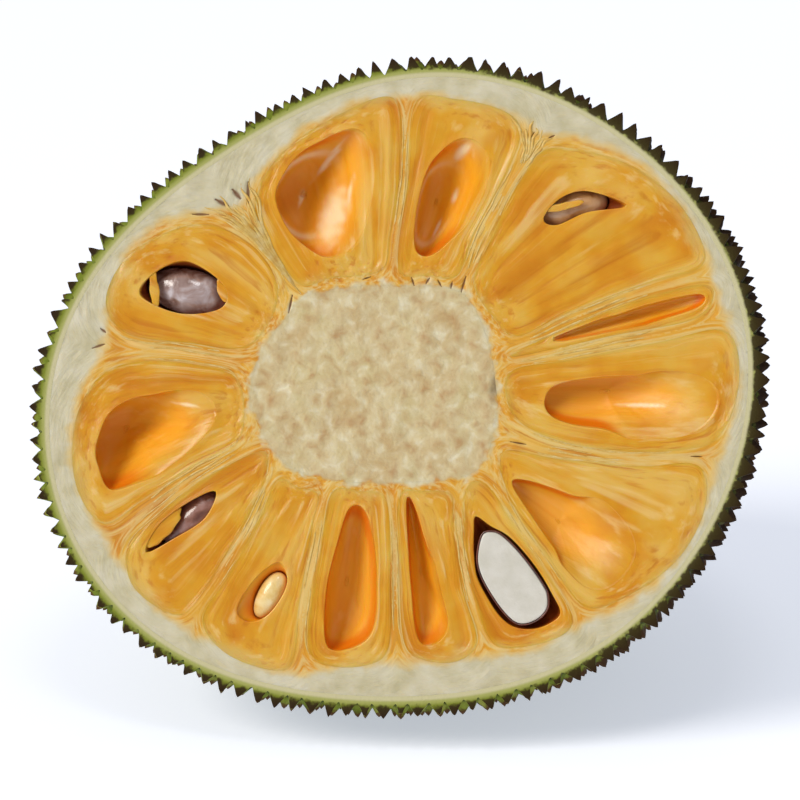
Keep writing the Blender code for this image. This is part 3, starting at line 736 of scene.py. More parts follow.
def pith_finish():
    """Raw pith, sliced: damp white fibre under the rind, orange and streaky between the bulbs.

    Towards the core it takes the core's cream. Its tears show as brown slits."""
    material, tree, place, layer, ring, heart, sink = start_finish(
        "sliced white pith", "layer", "ring", "heart", "sink")
    cloud = speckle(tree, place, 8.0, 3.0)
    fine = layered(tree, place, layer, 1.0, 2.6, 4.0)
    cream, _, near_core = cream_core(tree, place, heart)
    rag, *_ = layered_flesh(tree, place, layer)
    rag = lay(tree, rag, "#d6bd78", fine, 0.42, 0.66, 0.7)
    rag = lay(tree, rag, "#b27d28", fine, 0.42, 0.28, 0.45)
    white = add_node(tree, "ValToRGB", (cloud,),
                     ramp=((0.3, "#b6ad89"), (0.5, "#c3bb9c"), (0.72, "#ccc5ac")))
    white = lay(tree, white, "#cdbf93", fine, 0.55, 0.75, 0.4)
    edge = add_node(tree, "Math", (cloud, 7.0, ring), operation="MULTIPLY_ADD")
    colour = lay(tree, rag, "#d0b473", edge, 0.0, 3.0, 0.85)
    colour = lay(tree, colour, white, edge, 1.6, 5.0)
    colour = lay(tree, colour, cream, near_core, 6.0, 3.6)
    colour = lay(tree, colour, "#6b3d16", sink, 0.1, 0.9, 0.9)
    return finish_with(material, tree, colour, ((cloud, 0.5), (fine, 0.3)), Roughness=0.5,
                       Specular_IOR_Level=0.35, Subsurface_Weight=0.3,
                       Subsurface_Radius=(1.0, 0.75, 0.4), Subsurface_Scale=0.002)


def core_finish():
    """The fruit's core, sliced: dense cream fibre dotted with tan vessels, matt and damp."""
    material, tree, place, layer, heart, bruise = start_finish("sliced mottled core", "layer",
                                                               "heart", "bruise")
    colour, blotch, near_core = cream_core(tree, place, heart)
    flesh, *_ = layered_flesh(tree, place, layer)
    grit = speckle(tree, place, 1.3, 3.0)
    colour = lay(tree, colour, flesh, near_core, 3.6, 6.0)
    colour = lay(tree, colour, "#7d6a48", bruise, 0.1, 0.9, 0.9)
    return finish_with(material, tree, colour, ((blotch, 0.6), (grit, 0.3)), Roughness=0.55,
                       Specular_IOR_Level=0.3, Subsurface_Weight=0.3,
                       Subsurface_Radius=(1.0, 0.8, 0.45), Subsurface_Scale=0.002)


def flesh_finish():
    """Ripe jackfruit flesh: firm, wet and a little see-through, and laid down in thin layers.

    It pales to yellow where it grows out of the pith. Painted light makes its hollows a brighter
    orange, and painted shade darkens their steep walls and the gaps round the seeds."""
    material, tree, place, layer, ring, heart, sink, wall, film, gap = start_finish(
        "ripe wet flesh", "layer", "ring", "heart", "sink", "wall", "film", "gap")
    colour, broad, fine = layered_flesh(tree, place, layer)
    cream, _, near_core = cream_core(tree, place, heart)
    cloud = speckle(tree, place, 8.0, 3.0)
    edge = add_node(tree, "Math", (cloud, 9.0, ring), operation="MULTIPLY_ADD")
    colour = lay(tree, colour, "#cdac5f", edge, -1.5, 5.0, 0.8)
    pale = add_node(tree, "Math", (cloud, 8.0, heart), operation="MULTIPLY_ADD")
    colour = lay(tree, colour, "#d0ad58", pale, 12.0, 4.0, 0.7)
    colour = lay(tree, colour, cream, near_core, 6.0, 3.6)
    # Painted light: the hollows turn a brighter orange as they deepen, to make up for their shade
    colour = lay(tree, colour, "#f0a316", sink, 0.05, 0.6, 0.7)
    # Painted shade: the steep walls of the hollows and the walls of the seeds' beds are a darker
    # orange
    colour = lay(tree, colour, "#dc7204", wall, 0.1, 0.9, 0.95)
    colour = lay(tree, colour, "#f2dcae", film, 0.0, 1.0, 0.85)
    # Painted shade: red-brown in the gaps round the seeds
    colour = lay(tree, colour, "#8a3a10", gap, 0.1, 0.8, 0.95)
    gloss = add_node(tree, "MapRange", (sink, 0.0, 1.0, 0.3, 0.5))
    tree.links.new(gloss, tree.nodes["Principled BSDF"].inputs["Roughness"])
    return finish_with(material, tree, colour, ((broad, 0.6), (fine, 0.4)),
                       Specular_IOR_Level=0.35, Subsurface_Weight=0.5,
                       Subsurface_Radius=(1.0, 0.45, 0.08), Subsurface_Scale=0.003)


def rag_finish():
    """Rag fibre between the bulbs: thin pale wet strands."""
    material, tree, place = start_finish("pale rag fibre")
    streak = speckle(tree, place, 3.0, 3.0)
    colour = add_node(tree, "ValToRGB", (streak,),
                      ramp=((0.3, "#c8933a"), (0.5, "#d2ab58"), (0.7, "#dabd7e")))
    return finish_with(material, tree, colour, ((streak, 0.15),), Roughness=0.4,
                       Specular_IOR_Level=0.4, Subsurface_Weight=0.3,
                       Subsurface_Radius=(1.0, 0.7, 0.3), Subsurface_Scale=0.0015)


def kernel_finish():
    """A raw seed kernel, sliced: dense, starchy and off-white."""
    material, tree, place = start_finish("sliced raw kernel")
    cloud = speckle(tree, place, 6.0, 3.0)
    grit = speckle(tree, place, 0.8)
    colour = add_node(tree, "ValToRGB", (cloud,),
                      ramp=((0.35, "#c6c2b4"), (0.55, "#cdc9bd"), (0.75, "#d4d1c6")))
    return finish_with(material, tree, colour, ((grit, 0.08),), Roughness=0.45,
                       Specular_IOR_Level=0.4, Subsurface_Weight=0.3,
                       Subsurface_Radius=(1.0, 0.9, 0.7), Subsurface_Scale=0.0015)


def coat_finish(name, light, middle, dark, roughness):
    """A seed's coat: thin smooth skin, wet with juice, its colour clouded along the seed."""
    material, tree, place = start_finish(name)
    cloud = speckle(tree, place, 6.5, 3.0, 0.6)
    wrinkle = speckle(tree, place, 2.2)
    colour = add_node(tree, "ValToRGB", (cloud,), ramp=((0.33, dark), (0.5, middle), (0.68, light)))
    return finish_with(material, tree, colour, ((wrinkle, 0.25),), Roughness=roughness,
                       Specular_IOR_Level=0.6, Coat_Weight=0.6, Coat_Roughness=0.12)


def meridian():
    """Depth, area and the logarithm of the radius on a flat map that keeps angles."""
    depths = HALF_DEPTH * np.sin(np.linspace(-math.asin(SITE_MARGIN / HALF_DEPTH),
                                             math.pi / 2 - 0.002, 4000))
    radii = np.mean([body_radius(angle, depths) for angle in all_round(72)], axis=0)
    steps = np.hypot(np.diff(depths), np.diff(radii))
    middles = (radii[1:] + radii[:-1]) / 2
    area = np.concatenate([[0.0], np.cumsum(2 * math.pi * middles * steps)])
    flat_map = np.concatenate([[0.0], -np.cumsum(steps / middles)])
    tilt = np.arctan2(depths / HALF_DEPTH, radii / FACE_RADIUS)
    return depths, area, flat_map, tilt


def spine_cells():
    """The spines' feet: corners on the body, and the corners and middle of each cell."""
    depths, area, flat_map, tilt = meridian()
    total = int(area[-1] / (SPINE_PITCH ** 2 * HEX_ROW))
    draw = np.random.default_rng(4)
    shares = (np.arange(total) + 0.5) / total
    depth = np.interp(shares * area[-1], area, depths)
    angle = np.arange(total) * GOLDEN_ANGLE
    stir = draw.normal(0, SPINE_STIR, total)
    angle = angle + stir / np.maximum(body_radius(angle, depth), 8)
    depth = np.clip(depth + draw.normal(0, SPINE_STIR, total), depths[0], depths[-1])
    fine = np.linspace(0.0, 2 * math.pi, 2000)
    walked = np.concatenate([[0.0], np.cumsum(body_radius(fine[1:], 0.0) * np.diff(fine))])
    row = np.arange(int(walked[-1] / RIM_PITCH)) * RIM_PITCH
    row = np.interp((row + draw.uniform(-0.5, 0.5, len(row))), walked, fine, period=walked[-1])
    apart = np.abs(depth - RIM_DEPTH) > 0.75 * SPINE_PITCH
    angle = np.concatenate([row, angle[apart]])
    depth = np.concatenate([np.full(len(row), RIM_DEPTH), depth[apart]])
    for turn in range(4):
        reach = np.exp(np.interp(depth, depths, flat_map))
        sites = np.column_stack([reach * np.cos(angle), reach * np.sin(angle)])
        spots, _, triangles, *_ = delaunay_2d_cdt([Vector(site) for site in sites.tolist()],
                                                  [], [], 0, 1e-9)
        sites, triangles = np.array(spots), np.array(triangles)
        middles = sites[triangles].mean(axis=1)
        corners = body_points(np.arctan2(middles[:, 1], middles[:, 0]),
                              np.interp(-np.log(np.hypot(*middles.T)), -flat_map, depths))
        depth = np.interp(-np.log(np.hypot(*sites.T)), -flat_map, depths)
        angle = np.arctan2(sites[:, 1], sites[:, 0])
        if turn == 3:
            break
        sums = np.zeros((len(sites), 3))
        np.add.at(sums, triangles.ravel(), np.repeat(corners, 3, axis=0))
        centres = sums / np.bincount(triangles.ravel(), minlength=len(sites))[:, None]
        lean = np.arctan2(-centres[:, 2] / HALF_DEPTH,
                          np.hypot(centres[:, 0], centres[:, 1]) / FACE_RADIUS)
        free = (depth > depths[0] + SPINE_PITCH) & (np.abs(depth - RIM_DEPTH) > 0.1)
        angle = np.where(free, np.arctan2(centres[:, 1], centres[:, 0]), angle)
        depth = np.where(free, np.interp(lean, tilt, depths), depth)
    around = {}
    for index, triangle in enumerate(triangles.tolist()):
        for site in triangle:
            around.setdefault(site, []).append(index)
    cells = []
    for site, touching in around.items():
        if depth[site] < -CELL_MARGIN:
            continue
        x, y = sites[site]
        touching.sort(key=lambda index: math.atan2(middles[index][1] - y, middles[index][0] - x))
        cells.append((touching, float(angle[site]), float(depth[site])))
    return corners, cells


def darkness(points):
    """How dark the rind is painted: real browning together with painted shade on the side away
    from the light, most on the right, least at the upper left.
    """
    angle = np.degrees(np.arctan2(points[:, 1], points[:, 0]))
    near_cut = smooth_step(1.0 - (-points[:, 2] - BROWNING_AND_SHADE_DEPTH) / BROWNING_AND_SHADE_FADE)
    shade = BROWNING_AND_SHADE_DEEP + (np.interp(angle, *zip(*BROWNING_AND_SHADE)) - BROWNING_AND_SHADE_DEEP) * near_cut
    return np.clip(shade + 0.16 * ripple(points, 11.0, 5.0), 0.0, 1.0)


def grow_spines():
    """A spine on every cell, all cut off at the cut face."""
    corners, cells = spine_cells()
    draw = np.random.default_rng(9)
    data = bmesh.new()
    layer = data.verts.layers.float.new("height")
    feet = {}
    for touching, angle, depth in cells:
        middle = body_points(angle, depth)
        step = 0.01
        slopes = [body_points(angle + step, depth) - body_points(angle - step, depth),
                  body_points(angle, depth + step * 50) - body_points(angle, depth - step * 50)]
        outward = np.cross(*slopes)
        outward /= np.linalg.norm(outward)
        if outward @ middle < 0:
            outward = -outward
        outward = outward + draw.normal(0, SPINE_LEAN, 3)
        base = corners[touching]
        width = np.linalg.norm(base - base.mean(axis=0), axis=1).mean()
        height = SPINE_HEIGHT * draw.uniform(*SPINE_LENGTHS) * min(1.0, width / SPINE_FULL_WIDTH)
        for index in touching:
            if index not in feet:
                feet[index] = data.verts.new(corners[index])
        rings = [[feet[index] for index in touching]]
        for inward, up in SPINE_STEPS:
            rough = draw.normal(0, SPINE_ROUGHNESS, (len(base), 3))
            spots = base + (middle - base) * inward + outward * up * height + rough
            rings.append([data.verts.new(spot) for spot in spots])
            for vert in rings[-1]:
                vert[layer] = up
        tip = data.verts.new(middle + outward * height)
        tip[layer] = 1.0
        steps = [(index, (index + 1) % len(touching)) for index in range(len(touching))]
        for lower, upper in zip(rings, rings[1:]):
            for index, after in steps:
                data.faces.new((lower[index], lower[after], upper[after], upper[index]))
        for index, after in steps:
            data.faces.new((rings[-1][index], rings[-1][after], tip))
    everything = data.verts[:] + data.edges[:] + data.faces[:]
    bmesh.ops.bisect_plane(data, geom=everything, dist=1e-4, plane_co=(0, 0, 0),
                           plane_no=(0, 0, 1), clear_outer=True)
    data.verts.index_update()
    return data


def rim_of(data):
    """The numbers of the points round a mesh's open edge, in order."""
    ahead = {}
    for edge in data.edges:
        if edge.is_boundary:
            loop = edge.link_loops[0]
            ahead[loop.vert] = loop.link_loop_next.vert
    start = next(iter(ahead))
    rim = [start.index]
    vert = ahead[start]
    while vert is not start:
        rim.append(vert.index)
        vert = ahead[vert]
    return rim


def peel_of(spots):
    """How far in from the foot of the spines each point of the cut face lies."""
    angle = np.arctan2(spots[:, 1], spots[:, 0])
    return body_radius(angle, 0.0) - np.hypot(spots[:, 0], spots[:, 1])


def make_rind(finish):
    """The rind: spines outside, a rough cut edge, and a smooth inside that the pith fills."""
    data = grow_spines()
    rim = rim_of(data)
    layer = data.verts.layers.float["height"]
    points = np.array([vert.co for vert in data.verts])
    points[rim, 2] = 0.0
    shell = Shell("height", "dark", "peel")
    shell.add(points, height=[vert[layer] for vert in data.verts], dark=darkness(points))
    shell.faces += [[vert.index for vert in face.verts] for face in data.faces]
    data.free()
    edge = points[rim]
    outer = shell.add(edge, peel=peel_of(edge), dark=darkness(edge))
    angles = all_round(BODY_SIDES)
    reach = HALF_DEPTH - SKIN
    inside = {"peel": SKIN, "dark": 0.3}
    rings = []
    for step in range(RIND_RINGS):
        depth = reach * math.sin(math.pi / 2 * step / RIND_RINGS)
        ring = body_points(angles, depth, SKIN)
        rings.append(shell.add(ring, **inside))

    def shape(spots):
        peel = peel_of(spots)
        lumps = (0.06 + 0.08 * ripple(flat(spots), 2.0)) * smooth_step((SKIN - peel) / 1.2)
        return flat(spots, lumps), {"peel": peel, "dark": darkness(flat(spots))}

    turning = edge[:, 0] * np.roll(edge[:, 1], -1) - np.roll(edge[:, 0], -1) * edge[:, 1]
    if turning.sum() < 0:
        outer = outer[::-1]
    shell.fill(outer, [rings[0]], RIND_SPACING, shape)
    shell.skin(rings, (0, 0, -reach), **inside)
    settle(shell.piece("spiny_rind", finish, "rind", "rind"))


def settle(thing):
    """Blunt what would reach below the floor or out of the solids' box."""
    low = np.array(CAD_BOX[0]) + 2e-5
    high = np.array(CAD_BOX[1]) - 2e-5
    low[2] = 0.0
    spots = np.empty(len(thing.data.vertices) * 3)
    thing.data.vertices.foreach_get("co", spots)
    held = np.clip(spots.reshape(-1, 3), low, high)
    thing.data.vertices.foreach_set("co", held.ravel())
    thing.data.update()


def add_pod(shell, rings, outline, depth, first, **fields):
    """A pod's outside: it carries some rings on from a first depth down to its tip."""
    middle = outline.mean(axis=0)
    rings = list(rings)
    for share in POD_STEPS:
        scale = (1.0 - share ** POD_FULLNESS) ** (1.0 / POD_FULLNESS)
        ring = middle + (outline - middle) * scale
        rings.append(shell.add(flat(ring, -first - share * (depth - first)), **fields))
    shell.skin(rings, (*middle, -depth))


def rounded_edge(shell, outline, radius, steps=3, **fields):
    """Rings that roll from the cut face over an outline and down its side."""
    rings = []
    for turn in np.linspace(0.0, math.pi / 2, steps + 1):
        ring = grown(outline, -radius * (1 - math.sin(turn)))
        rings.append(shell.add(flat(ring, -radius * (1 - math.cos(turn))), **fields))
    return rings


def layer_at(spots, inward, near):
    """Which layer of flesh a point of a bulb's face is in, between its outline and its hollow.

    The layers die away inwards, so that no crease shows down the bulb's middle."""
    wander = 1.0 * ripple(flat(np.asarray(spots)[:, :2]), 9.0, 11.0)
    thick = (inward + wander * smooth_step(inward / 3.0)) / LAYER_REACH
    return -LAYER_REACH * (1 - np.exp(-thick) * smooth_step((near + 4.0) / 8.0))


def hollow_rings(shell, bulb, mouth, outline, gap):
    """Rings of an empty hollow: a steep wall on one side, and on the other a soft slope that
    begins with no edge."""
    steep = np.array(bulb["steep"], float)
    deep = float(bulb["hollow"])
    outward = mouth - mouth.mean(axis=0)
    outward /= np.hypot(*outward.T)[:, None]
    away = -outward @ steep / max(np.hypot(*steep), 1e-6)
    soft = bulb["soft"] * smooth_step((away + 0.35) / 1.1)
    start = grown(mouth, np.minimum(0.2 + 3.2 * soft, 0.45 * distance(mouth, outline)))
    middle = mouth.mean(axis=0)
    walked = np.cumsum(np.hypot(*np.diff(mouth, axis=0, prepend=mouth[-1:]).T))
    layer = layer_at(mouth, distance(mouth, outline), 0.0)
    roll = HOLLOW_LIP * (1 - soft)
    rings = []
    for turn in np.linspace(0.0, math.pi / 2, 4):
        ring = grown(start, -roll * math.sin(turn))
        height = -roll * (1 - math.cos(turn))
        rings.append(shell.add(flat(ring, height), **face_fields(ring, layer)))
    for turn in np.linspace(0.0, math.pi / 2, HOLLOW_RINGS)[1:-1]:
        share = turn / (math.pi / 2)
        inward = (1 - math.cos(turn) ** (2 / HOLLOW_FULLNESS)) * (1 - soft) + share * soft
        sunk = math.sin(turn) ** (2 / HOLLOW_FULLNESS) * (1 - soft) + smooth_step(share) * soft
        folds = ripple(np.column_stack([walked, 0 * walked + 9 * share, 0 * walked]), 5.0)
        folds = 0.1 * (1 - smooth_step(share)) * folds
        spot = ring + (middle - ring) * (inward * (1 + folds))[:, None] + steep * sunk[:, None]
        depth = roll + (deep - roll) * sunk
        # Painted shade on the upper part of the steep wall
        wall = (1 - soft) * smooth_step(share / 0.07) * (1 - smooth_step((share - 0.2) / 0.3))
        ledge = bulb.get("ledge", 0.0) * (1 - soft) * math.exp(-((share - 0.5) / 0.07) ** 2)
        depth = depth - LEDGE_HEIGHT * ledge
        # Painted shade darkens the gap round a seed, from just under the lip
        rings.append(shell.add(
            flat(spot, -depth), sink=np.minimum(1, depth / DEEP_SHADE), wall=wall,
            film=np.maximum(film_at(spot), ledge), gap=gap * min(1.0, 12 * share),
            **face_fields(spot, layer + (layer.mean() - layer) * smooth_step(1.5 * share)
                          - 0.4 * depth)))
    return rings, (*(middle + steep), -deep)


def film_at(spots):
    """How much of the pale torn film lies on a hollow's wall at each point, from 0 to 1."""
    film = np.zeros(len(spots))
    for x, y, length, width, turn in FILMS:
        along, aside = turned(spots, (x, y), turn)
        film = np.maximum(film, 1.25 - np.hypot(2 * along / length, 2 * aside / width))
    torn = 0.3 * ripple(flat(spots[:, :2]), 3.5, 3.0)
    return smooth_step((film + torn * smooth_step(2 * film)) / 1.2)


def bed_rings(shell, mouth, outline, seed):
    """Rings of the pocket that a seed lies in: from the mouth down to the seed, then under it."""
    along, across, through = (length / 2 + 0.45 for length in seed["size"])
    place = np.array(seed["place"], float)
    ahead, aside = turned(mouth, place[:2], seed["turn"])
    angle = np.arctan2(aside / across, ahead / along)
    oval = set_down(along * np.cos(angle), across * np.sin(angle), 0.0, seed["turn"])
    layer = layer_at(mouth, distance(mouth, outline), 0.0)
    rings = []
    for turn in np.linspace(0.0, math.pi / 2, 4):
        ring = grown(mouth, BED_LIP * (1 - math.sin(turn)))
        height = -BED_LIP * (1 - math.cos(turn))
        rings.append(shell.add(flat(ring, height), **face_fields(ring, layer)))
    for share in np.linspace(0.08, 1.0, 8):
        weight = float(smooth_step(share))
        ring = mouth * (1 - weight) + (place[:2] + oval) * weight
        height = -BED_LIP + (place[2] + BED_LIP) * share
        # Painted shade darkens the bed's wall and the gap round the seed as they deepen
        rings.append(shell.add(flat(ring, height), sink=min(1, -height / 4), wall=share,
                               gap=seed["gap"] * min(1, 2.5 * share), **face_fields(ring, layer)))
    for turn in np.linspace(0.0, math.pi / 2, 9)[1:-1]:
        ring = place[:2] + oval * math.cos(turn)
        rings.append(shell.add(flat(ring, place[2] - through * math.sin(turn)),
                               sink=1.0, wall=1.0, gap=seed["gap"], **face_fields(ring, layer)))
    return rings, (place[0], place[1], place[2] - through)


def make_bulb(name, finish):
    """A bulb of flesh: its cut face, the hollow in it, and the pod behind."""
    bulb = BULBS[name]
    seed = SEEDS.get(name.replace("bulb", "seed"))
    shell = Shell("layer", "ring", "heart", "sink", "wall", "film", "gap")
    outline = OUTLINES[name]
    mouth = smooth_loop(bulb["mouth"], 1.0)
    fields = face_fields(outline, 0.0)
    edge = rounded_edge(shell, outline, EDGE, 2, **fields)
    add_pod(shell, edge, outline, bulb["depth"], EDGE, **fields)
    if seed and seed["place"][2] < 0:
        walls, floor = bed_rings(shell, mouth, outline, seed)
    else:
        walls, floor = hollow_rings(shell, bulb, mouth, outline, float(bool(seed)))
    shell.skin(walls, floor, sink=1.0, film=film_at(np.array([floor])), **IN_THE_FLESH)
    rim = np.concatenate(shell.points)[walls[0]]

    def shape(spots):
        inward, near = distance(spots, outline), distance(spots, rim)
        layer = layer_at(spots, inward, near)
        calm = smooth_step(np.minimum(inward, near) / 2.5)
        lumps = (0.42 * streaked(spots, layer, 1.6, 5.0) + 0.5 * ripple(flat(spots), 17.0, 2.0)
                 + 0.12 * ripple(flat(spots), 4.0, 7.0))
        return flat(spots, calm * (lumps - 0.1)), face_fields(spots, layer)

    shell.fill(edge[0], [walls[0]], FACE_SPACING, shape)
    shell.piece(name.replace("bulb", "flesh"), finish, "flesh", name)


def make_core(finish):
    """The core: a lumpy cut face over a long rounded column."""
    shell = Shell("layer", "heart", "bruise")
    edge = rounded_edge(shell, CORE_LOOP, EDGE, 2)
    add_pod(shell, edge, CORE_LOOP, CORE_DEPTH, EDGE)

    def shape(spots):
        calm = smooth_step(distance(spots, CORE_LOOP) / 2.5)
        lumps = 0.5 * ripple(flat(spots), 13.0, 4.0) + 0.32 * ripple(flat(spots), 4.5, 8.0)
        far = np.hypot((spots[:, 0] - 31.0) / 3.2, (spots[:, 1] - 0.5) / 6.5)
        bruise = np.clip(1.2 - far + 0.4 * ripple(flat(spots), 3.0, 1.0), 0.0, 1.0)
        heart = -distance(spots, CORE_LOOP)
        return flat(spots, calm * (lumps - 0.05)), {"heart": heart, "layer": -heart,
                                                    "bruise": bruise * 0.8}

    shell.fill(edge[0], [], FACE_SPACING, shape)
    shell.piece("mottled_core", finish, "core", "core")


def tear_depth(spots):
    """How far the tears in the rag sink the cut face at each point, from 0 to 1."""
    depth = np.zeros(len(spots))
    for x, y, length, width, turn in TEARS:
        along, aside = turned(spots, (x, y), turn)
        half = width / 2 * np.sqrt(np.clip(1 - (2 * along / length) ** 2, 0.0, 1.0)) + 1e-3
        depth = np.maximum(depth, smooth_step(1.25 - np.abs(aside) / half)
                           * (np.abs(along) < length / 2))
    return depth


def tear_points():
    """Extra points along the tears, so that the mesh can follow them."""
    spots = []
    for x, y, length, width, turn in TEARS:
        along = np.arange(-length / 2 - 0.4, length / 2 + 0.5, 0.42)
        aside = np.array([-1.4, -0.7, 0.0, 0.7, 1.4]) * width / 2
        spots.append(set_down(np.repeat(along, len(aside)), np.tile(aside, len(along)),
                              (x, y), turn))
    return np.concatenate(spots)


def make_pith(finish):
    """The pith: the pale body that holds the bulbs and the core, its face fibrous and torn."""
    shell = Shell("layer", "ring", "heart", "sink")
    angles = all_round(BODY_SIDES)
    reach = HALF_DEPTH - SKIN - 0.05
    rings = []
    for step in range(PITH_RINGS):
        depth = reach * math.sin(math.pi / 2 * step / PITH_RINGS)
        ring = body_points(angles, depth, SKIN + (0.05 if step else -0.15))
        ring[:, 2] -= 0.0 if step else 0.06
        rings.append(shell.add(ring, **UNDER_THE_SKIN))
    shell.skin(rings, (0, 0, -reach), **UNDER_THE_SKIN)
    pockets = []
    loops = []
    depths = [bulb["depth"] for bulb in BULBS.values()]
    for outline, depth in zip([*OUTLINES.values(), CORE_LOOP], [*depths, CORE_DEPTH]):
        loop = grown(outline, -0.04)
        fields = face_fields(loop, 0.0)
        mouth = shell.add(flat(loop, -0.03), **fields)
        under = shell.add(flat(grown(outline, -0.3), -0.25), **fields)
        add_pod(shell, [mouth, under], grown(outline, 0.02), depth + 0.3, 0.5, **fields)
        pockets.append(mouth)
        loops.append(loop)

    def shape(spots):
        skin = peel_of(spots)
        near = distance(spots, *loops[:-1])
        tears = tear_depth(spots)
        lumps = (0.3 * streaked(spots, near, 1.0, 3.0, 3.0) + 0.3 * ripple(flat(spots), 8.0, 6.0))
        edge = np.minimum(np.minimum(near, distance(spots, loops[-1])), skin - SKIN)
        height = smooth_step(edge / 1.2) * lumps - 0.01 - 0.6 * tears
        return flat(spots, height), {**face_fields(spots, near), "sink": tears}

    shell.fill(rings[0], pockets, PITH_SPACING, shape, tear_points())
    shell.piece("pale_pith", finish, "pith", "pith")


def rag_walls():
    """The rag between each two neighbouring bulbs: distances out from the core's middle, the
    angle of its lower side there, and how wide an angle it fills."""
    radii = np.arange(*RAG_SPAN)
    turns = np.linspace(-math.pi, math.pi, 1440, endpoint=False)
    spans = []
    for outline in OUTLINES.values():
        middle = math.atan2(*(outline.mean(axis=0) - CORE_MIDDLE)[::-1])
        span = []
        for radius in radii:
            angle = middle + turns / 2
            spots = CORE_MIDDLE + radius * np.column_stack([np.cos(angle), np.sin(angle)])
            inside = angle[within(spots, outline)]
            span.append((inside.min(), inside.max()) if len(inside) else (np.nan, np.nan))
        spans.append(np.array(span))
    walls = []
    for index, span in enumerate(spans):
        following = spans[(index + 1) % len(spans)]
        upper = span[:, 0]
        lower = following[:, 1]
        width = (upper - lower + math.pi) % (2 * math.pi) - math.pi
        good = ~np.isnan(width) & (width > 0.0) & (width * radii < RAG_WIDEST)
        walls.append((radii[good], (upper - width)[good], width[good]))
    return walls


def add_strand(shell, path, radii, flatness=0.45):
    """A thin strand along a path, flattened against the cut face."""
    path = np.asarray(path, float)
    along = np.gradient(path, axis=0)
    aside = np.column_stack([-along[:, 1], along[:, 0], 0 * along[:, 0]])
    aside /= np.linalg.norm(aside, axis=1)[:, None]
    rings = []
    angles = all_round(STRAND_SIDES)
    for spot, side, radius in zip(path, aside, radii):
        ring = (spot + radius * np.cos(angles)[:, None] * side
                + radius * flatness * np.sin(angles)[:, None] * np.array([0, 0, 1.0]))
        rings.append(shell.add(ring))
    shell.skin(rings, path[-1], path[0])


def strand_between(shell, first, second, share, draw, start, end, radius, proud=0.0):
    """A strand that keeps its share of the way between two curves."""
    count = max(8, int(np.hypot(*np.diff(first, axis=0).T).sum() * (end - start) / 1.1))
    stops = np.linspace(start, end, count)
    spots = []
    for curve in (first, second):
        walked = np.concatenate([[0], np.cumsum(np.hypot(*np.diff(curve, axis=0).T))])
        walked /= walked[-1]
        spots.append(np.column_stack([np.interp(stops, walked, curve[:, axis]) for axis in (0, 1)]))
    wander = draw.uniform(0, 100)
    sway = share + 0.1 * ripple(np.column_stack([stops * 6, stops * 0, stops * 0 + wander]), 1.0)
    path = spots[0] + (spots[1] - spots[0]) * sway[:, None]
    bumps = ripple(np.column_stack([stops * 8, stops * 0 + wander, stops * 0]), 1.0)
    lift = proud - 0.04 + 0.1 * bumps
    taper = np.clip(np.minimum(stops - start, end - stops) / (end - start) * 7, 0.12, 1.0)
    fade = np.sqrt(taper)
    add_strand(shell, flat(path, lift - 0.3 * (1 - fade)), radius * fade)


# The rag between two bulbs: where it is looked for, out from the core, and its greatest width
RAG_SPAN = (30.0, 118.0, 1.5)
RAG_WIDEST = 16.0
# Where the rag opens into a fan: the curve along one bulb, the curve along the next, from the
# core outwards, and how many strands lie between
FANS = (
    (((-34, 29), (-39, 34.3), (-45.7, 41.3), (-54, 49.3), (-62.3, 53.7), (-70.7, 55.3),
      (-79, 54.7)),
     ((-34.7, 29.5), (-39.7, 36), (-44.7, 44.7), (-48, 52.7), (-50, 60.3), (-51.3, 67),
      (-51.7, 71.3)), 15),
    (((37, 75.3), (38.3, 80.3), (36, 87), (32, 92.7)),
     ((39.3, 73.7), (42.7, 78.7), (47.7, 83.7), (52.7, 87)), 8),
)


def make_rag(finish):
    """The strands of rag that stand out on the cut face between the bulbs."""
    shell = Shell()
    draw = np.random.default_rng(21)
    for radii, lower, width in rag_walls():
        if len(radii) < 6:
            continue
        arc = (width * radii).mean()
        sides = [CORE_MIDDLE + radii[:, None] * np.column_stack([np.cos(turn), np.sin(turn)])
                 for turn in (lower, lower + width)]
        count = int(np.clip(arc / 1.5, 2, 4))
        for index in range(count):
            share = (index + 0.5) / count
            strand_between(shell, *sides, share, draw, draw.uniform(0, 0.15),
                           draw.uniform(0.6, 1.0), draw.uniform(0.18, 0.32))
    for first, second, count in FANS:
        for index in range(count):
            share = (index + 0.3 + draw.uniform(0, 0.4)) / count
            strand_between(shell, np.array(first, float), np.array(second, float), share, draw,
                           draw.uniform(0, 0.2), draw.uniform(0.6, 1.0),
                           draw.uniform(0.28, 0.5), 0.16)
    shell.piece("rag_strands", finish, "pith")


def make_membranes(finish):
    """The thin folds of flesh that lie across the coated seeds."""
    shell = Shell("ring", "heart")
    for x, y, length, width, turn in MEMBRANES:
        angles = all_round(MEMBRANE_SIDES)
        middle = np.array([x, y])
        loop = set_down(length / 2 * np.cos(angles), width / 2 * np.sin(angles), middle, turn)
        loop = middle + (loop - middle) * (1 + 0.3 * ripple(flat(loop), 3.5, 9.0))[:, None]
        rings = []
        for scale, height in MEMBRANE_RINGS:
            ring = middle + (loop - middle) * scale
            height = height + 0.2 * ripple(flat(ring), 3.0, scale)
            rings.append(shell.add(flat(ring, height), **IN_THE_FLESH))
        shell.skin(rings, (*middle, MEMBRANE_TOP), (*middle, MEMBRANE_FOOT), **IN_THE_FLESH)
    shell.piece("seed_membranes", finish, "flesh")


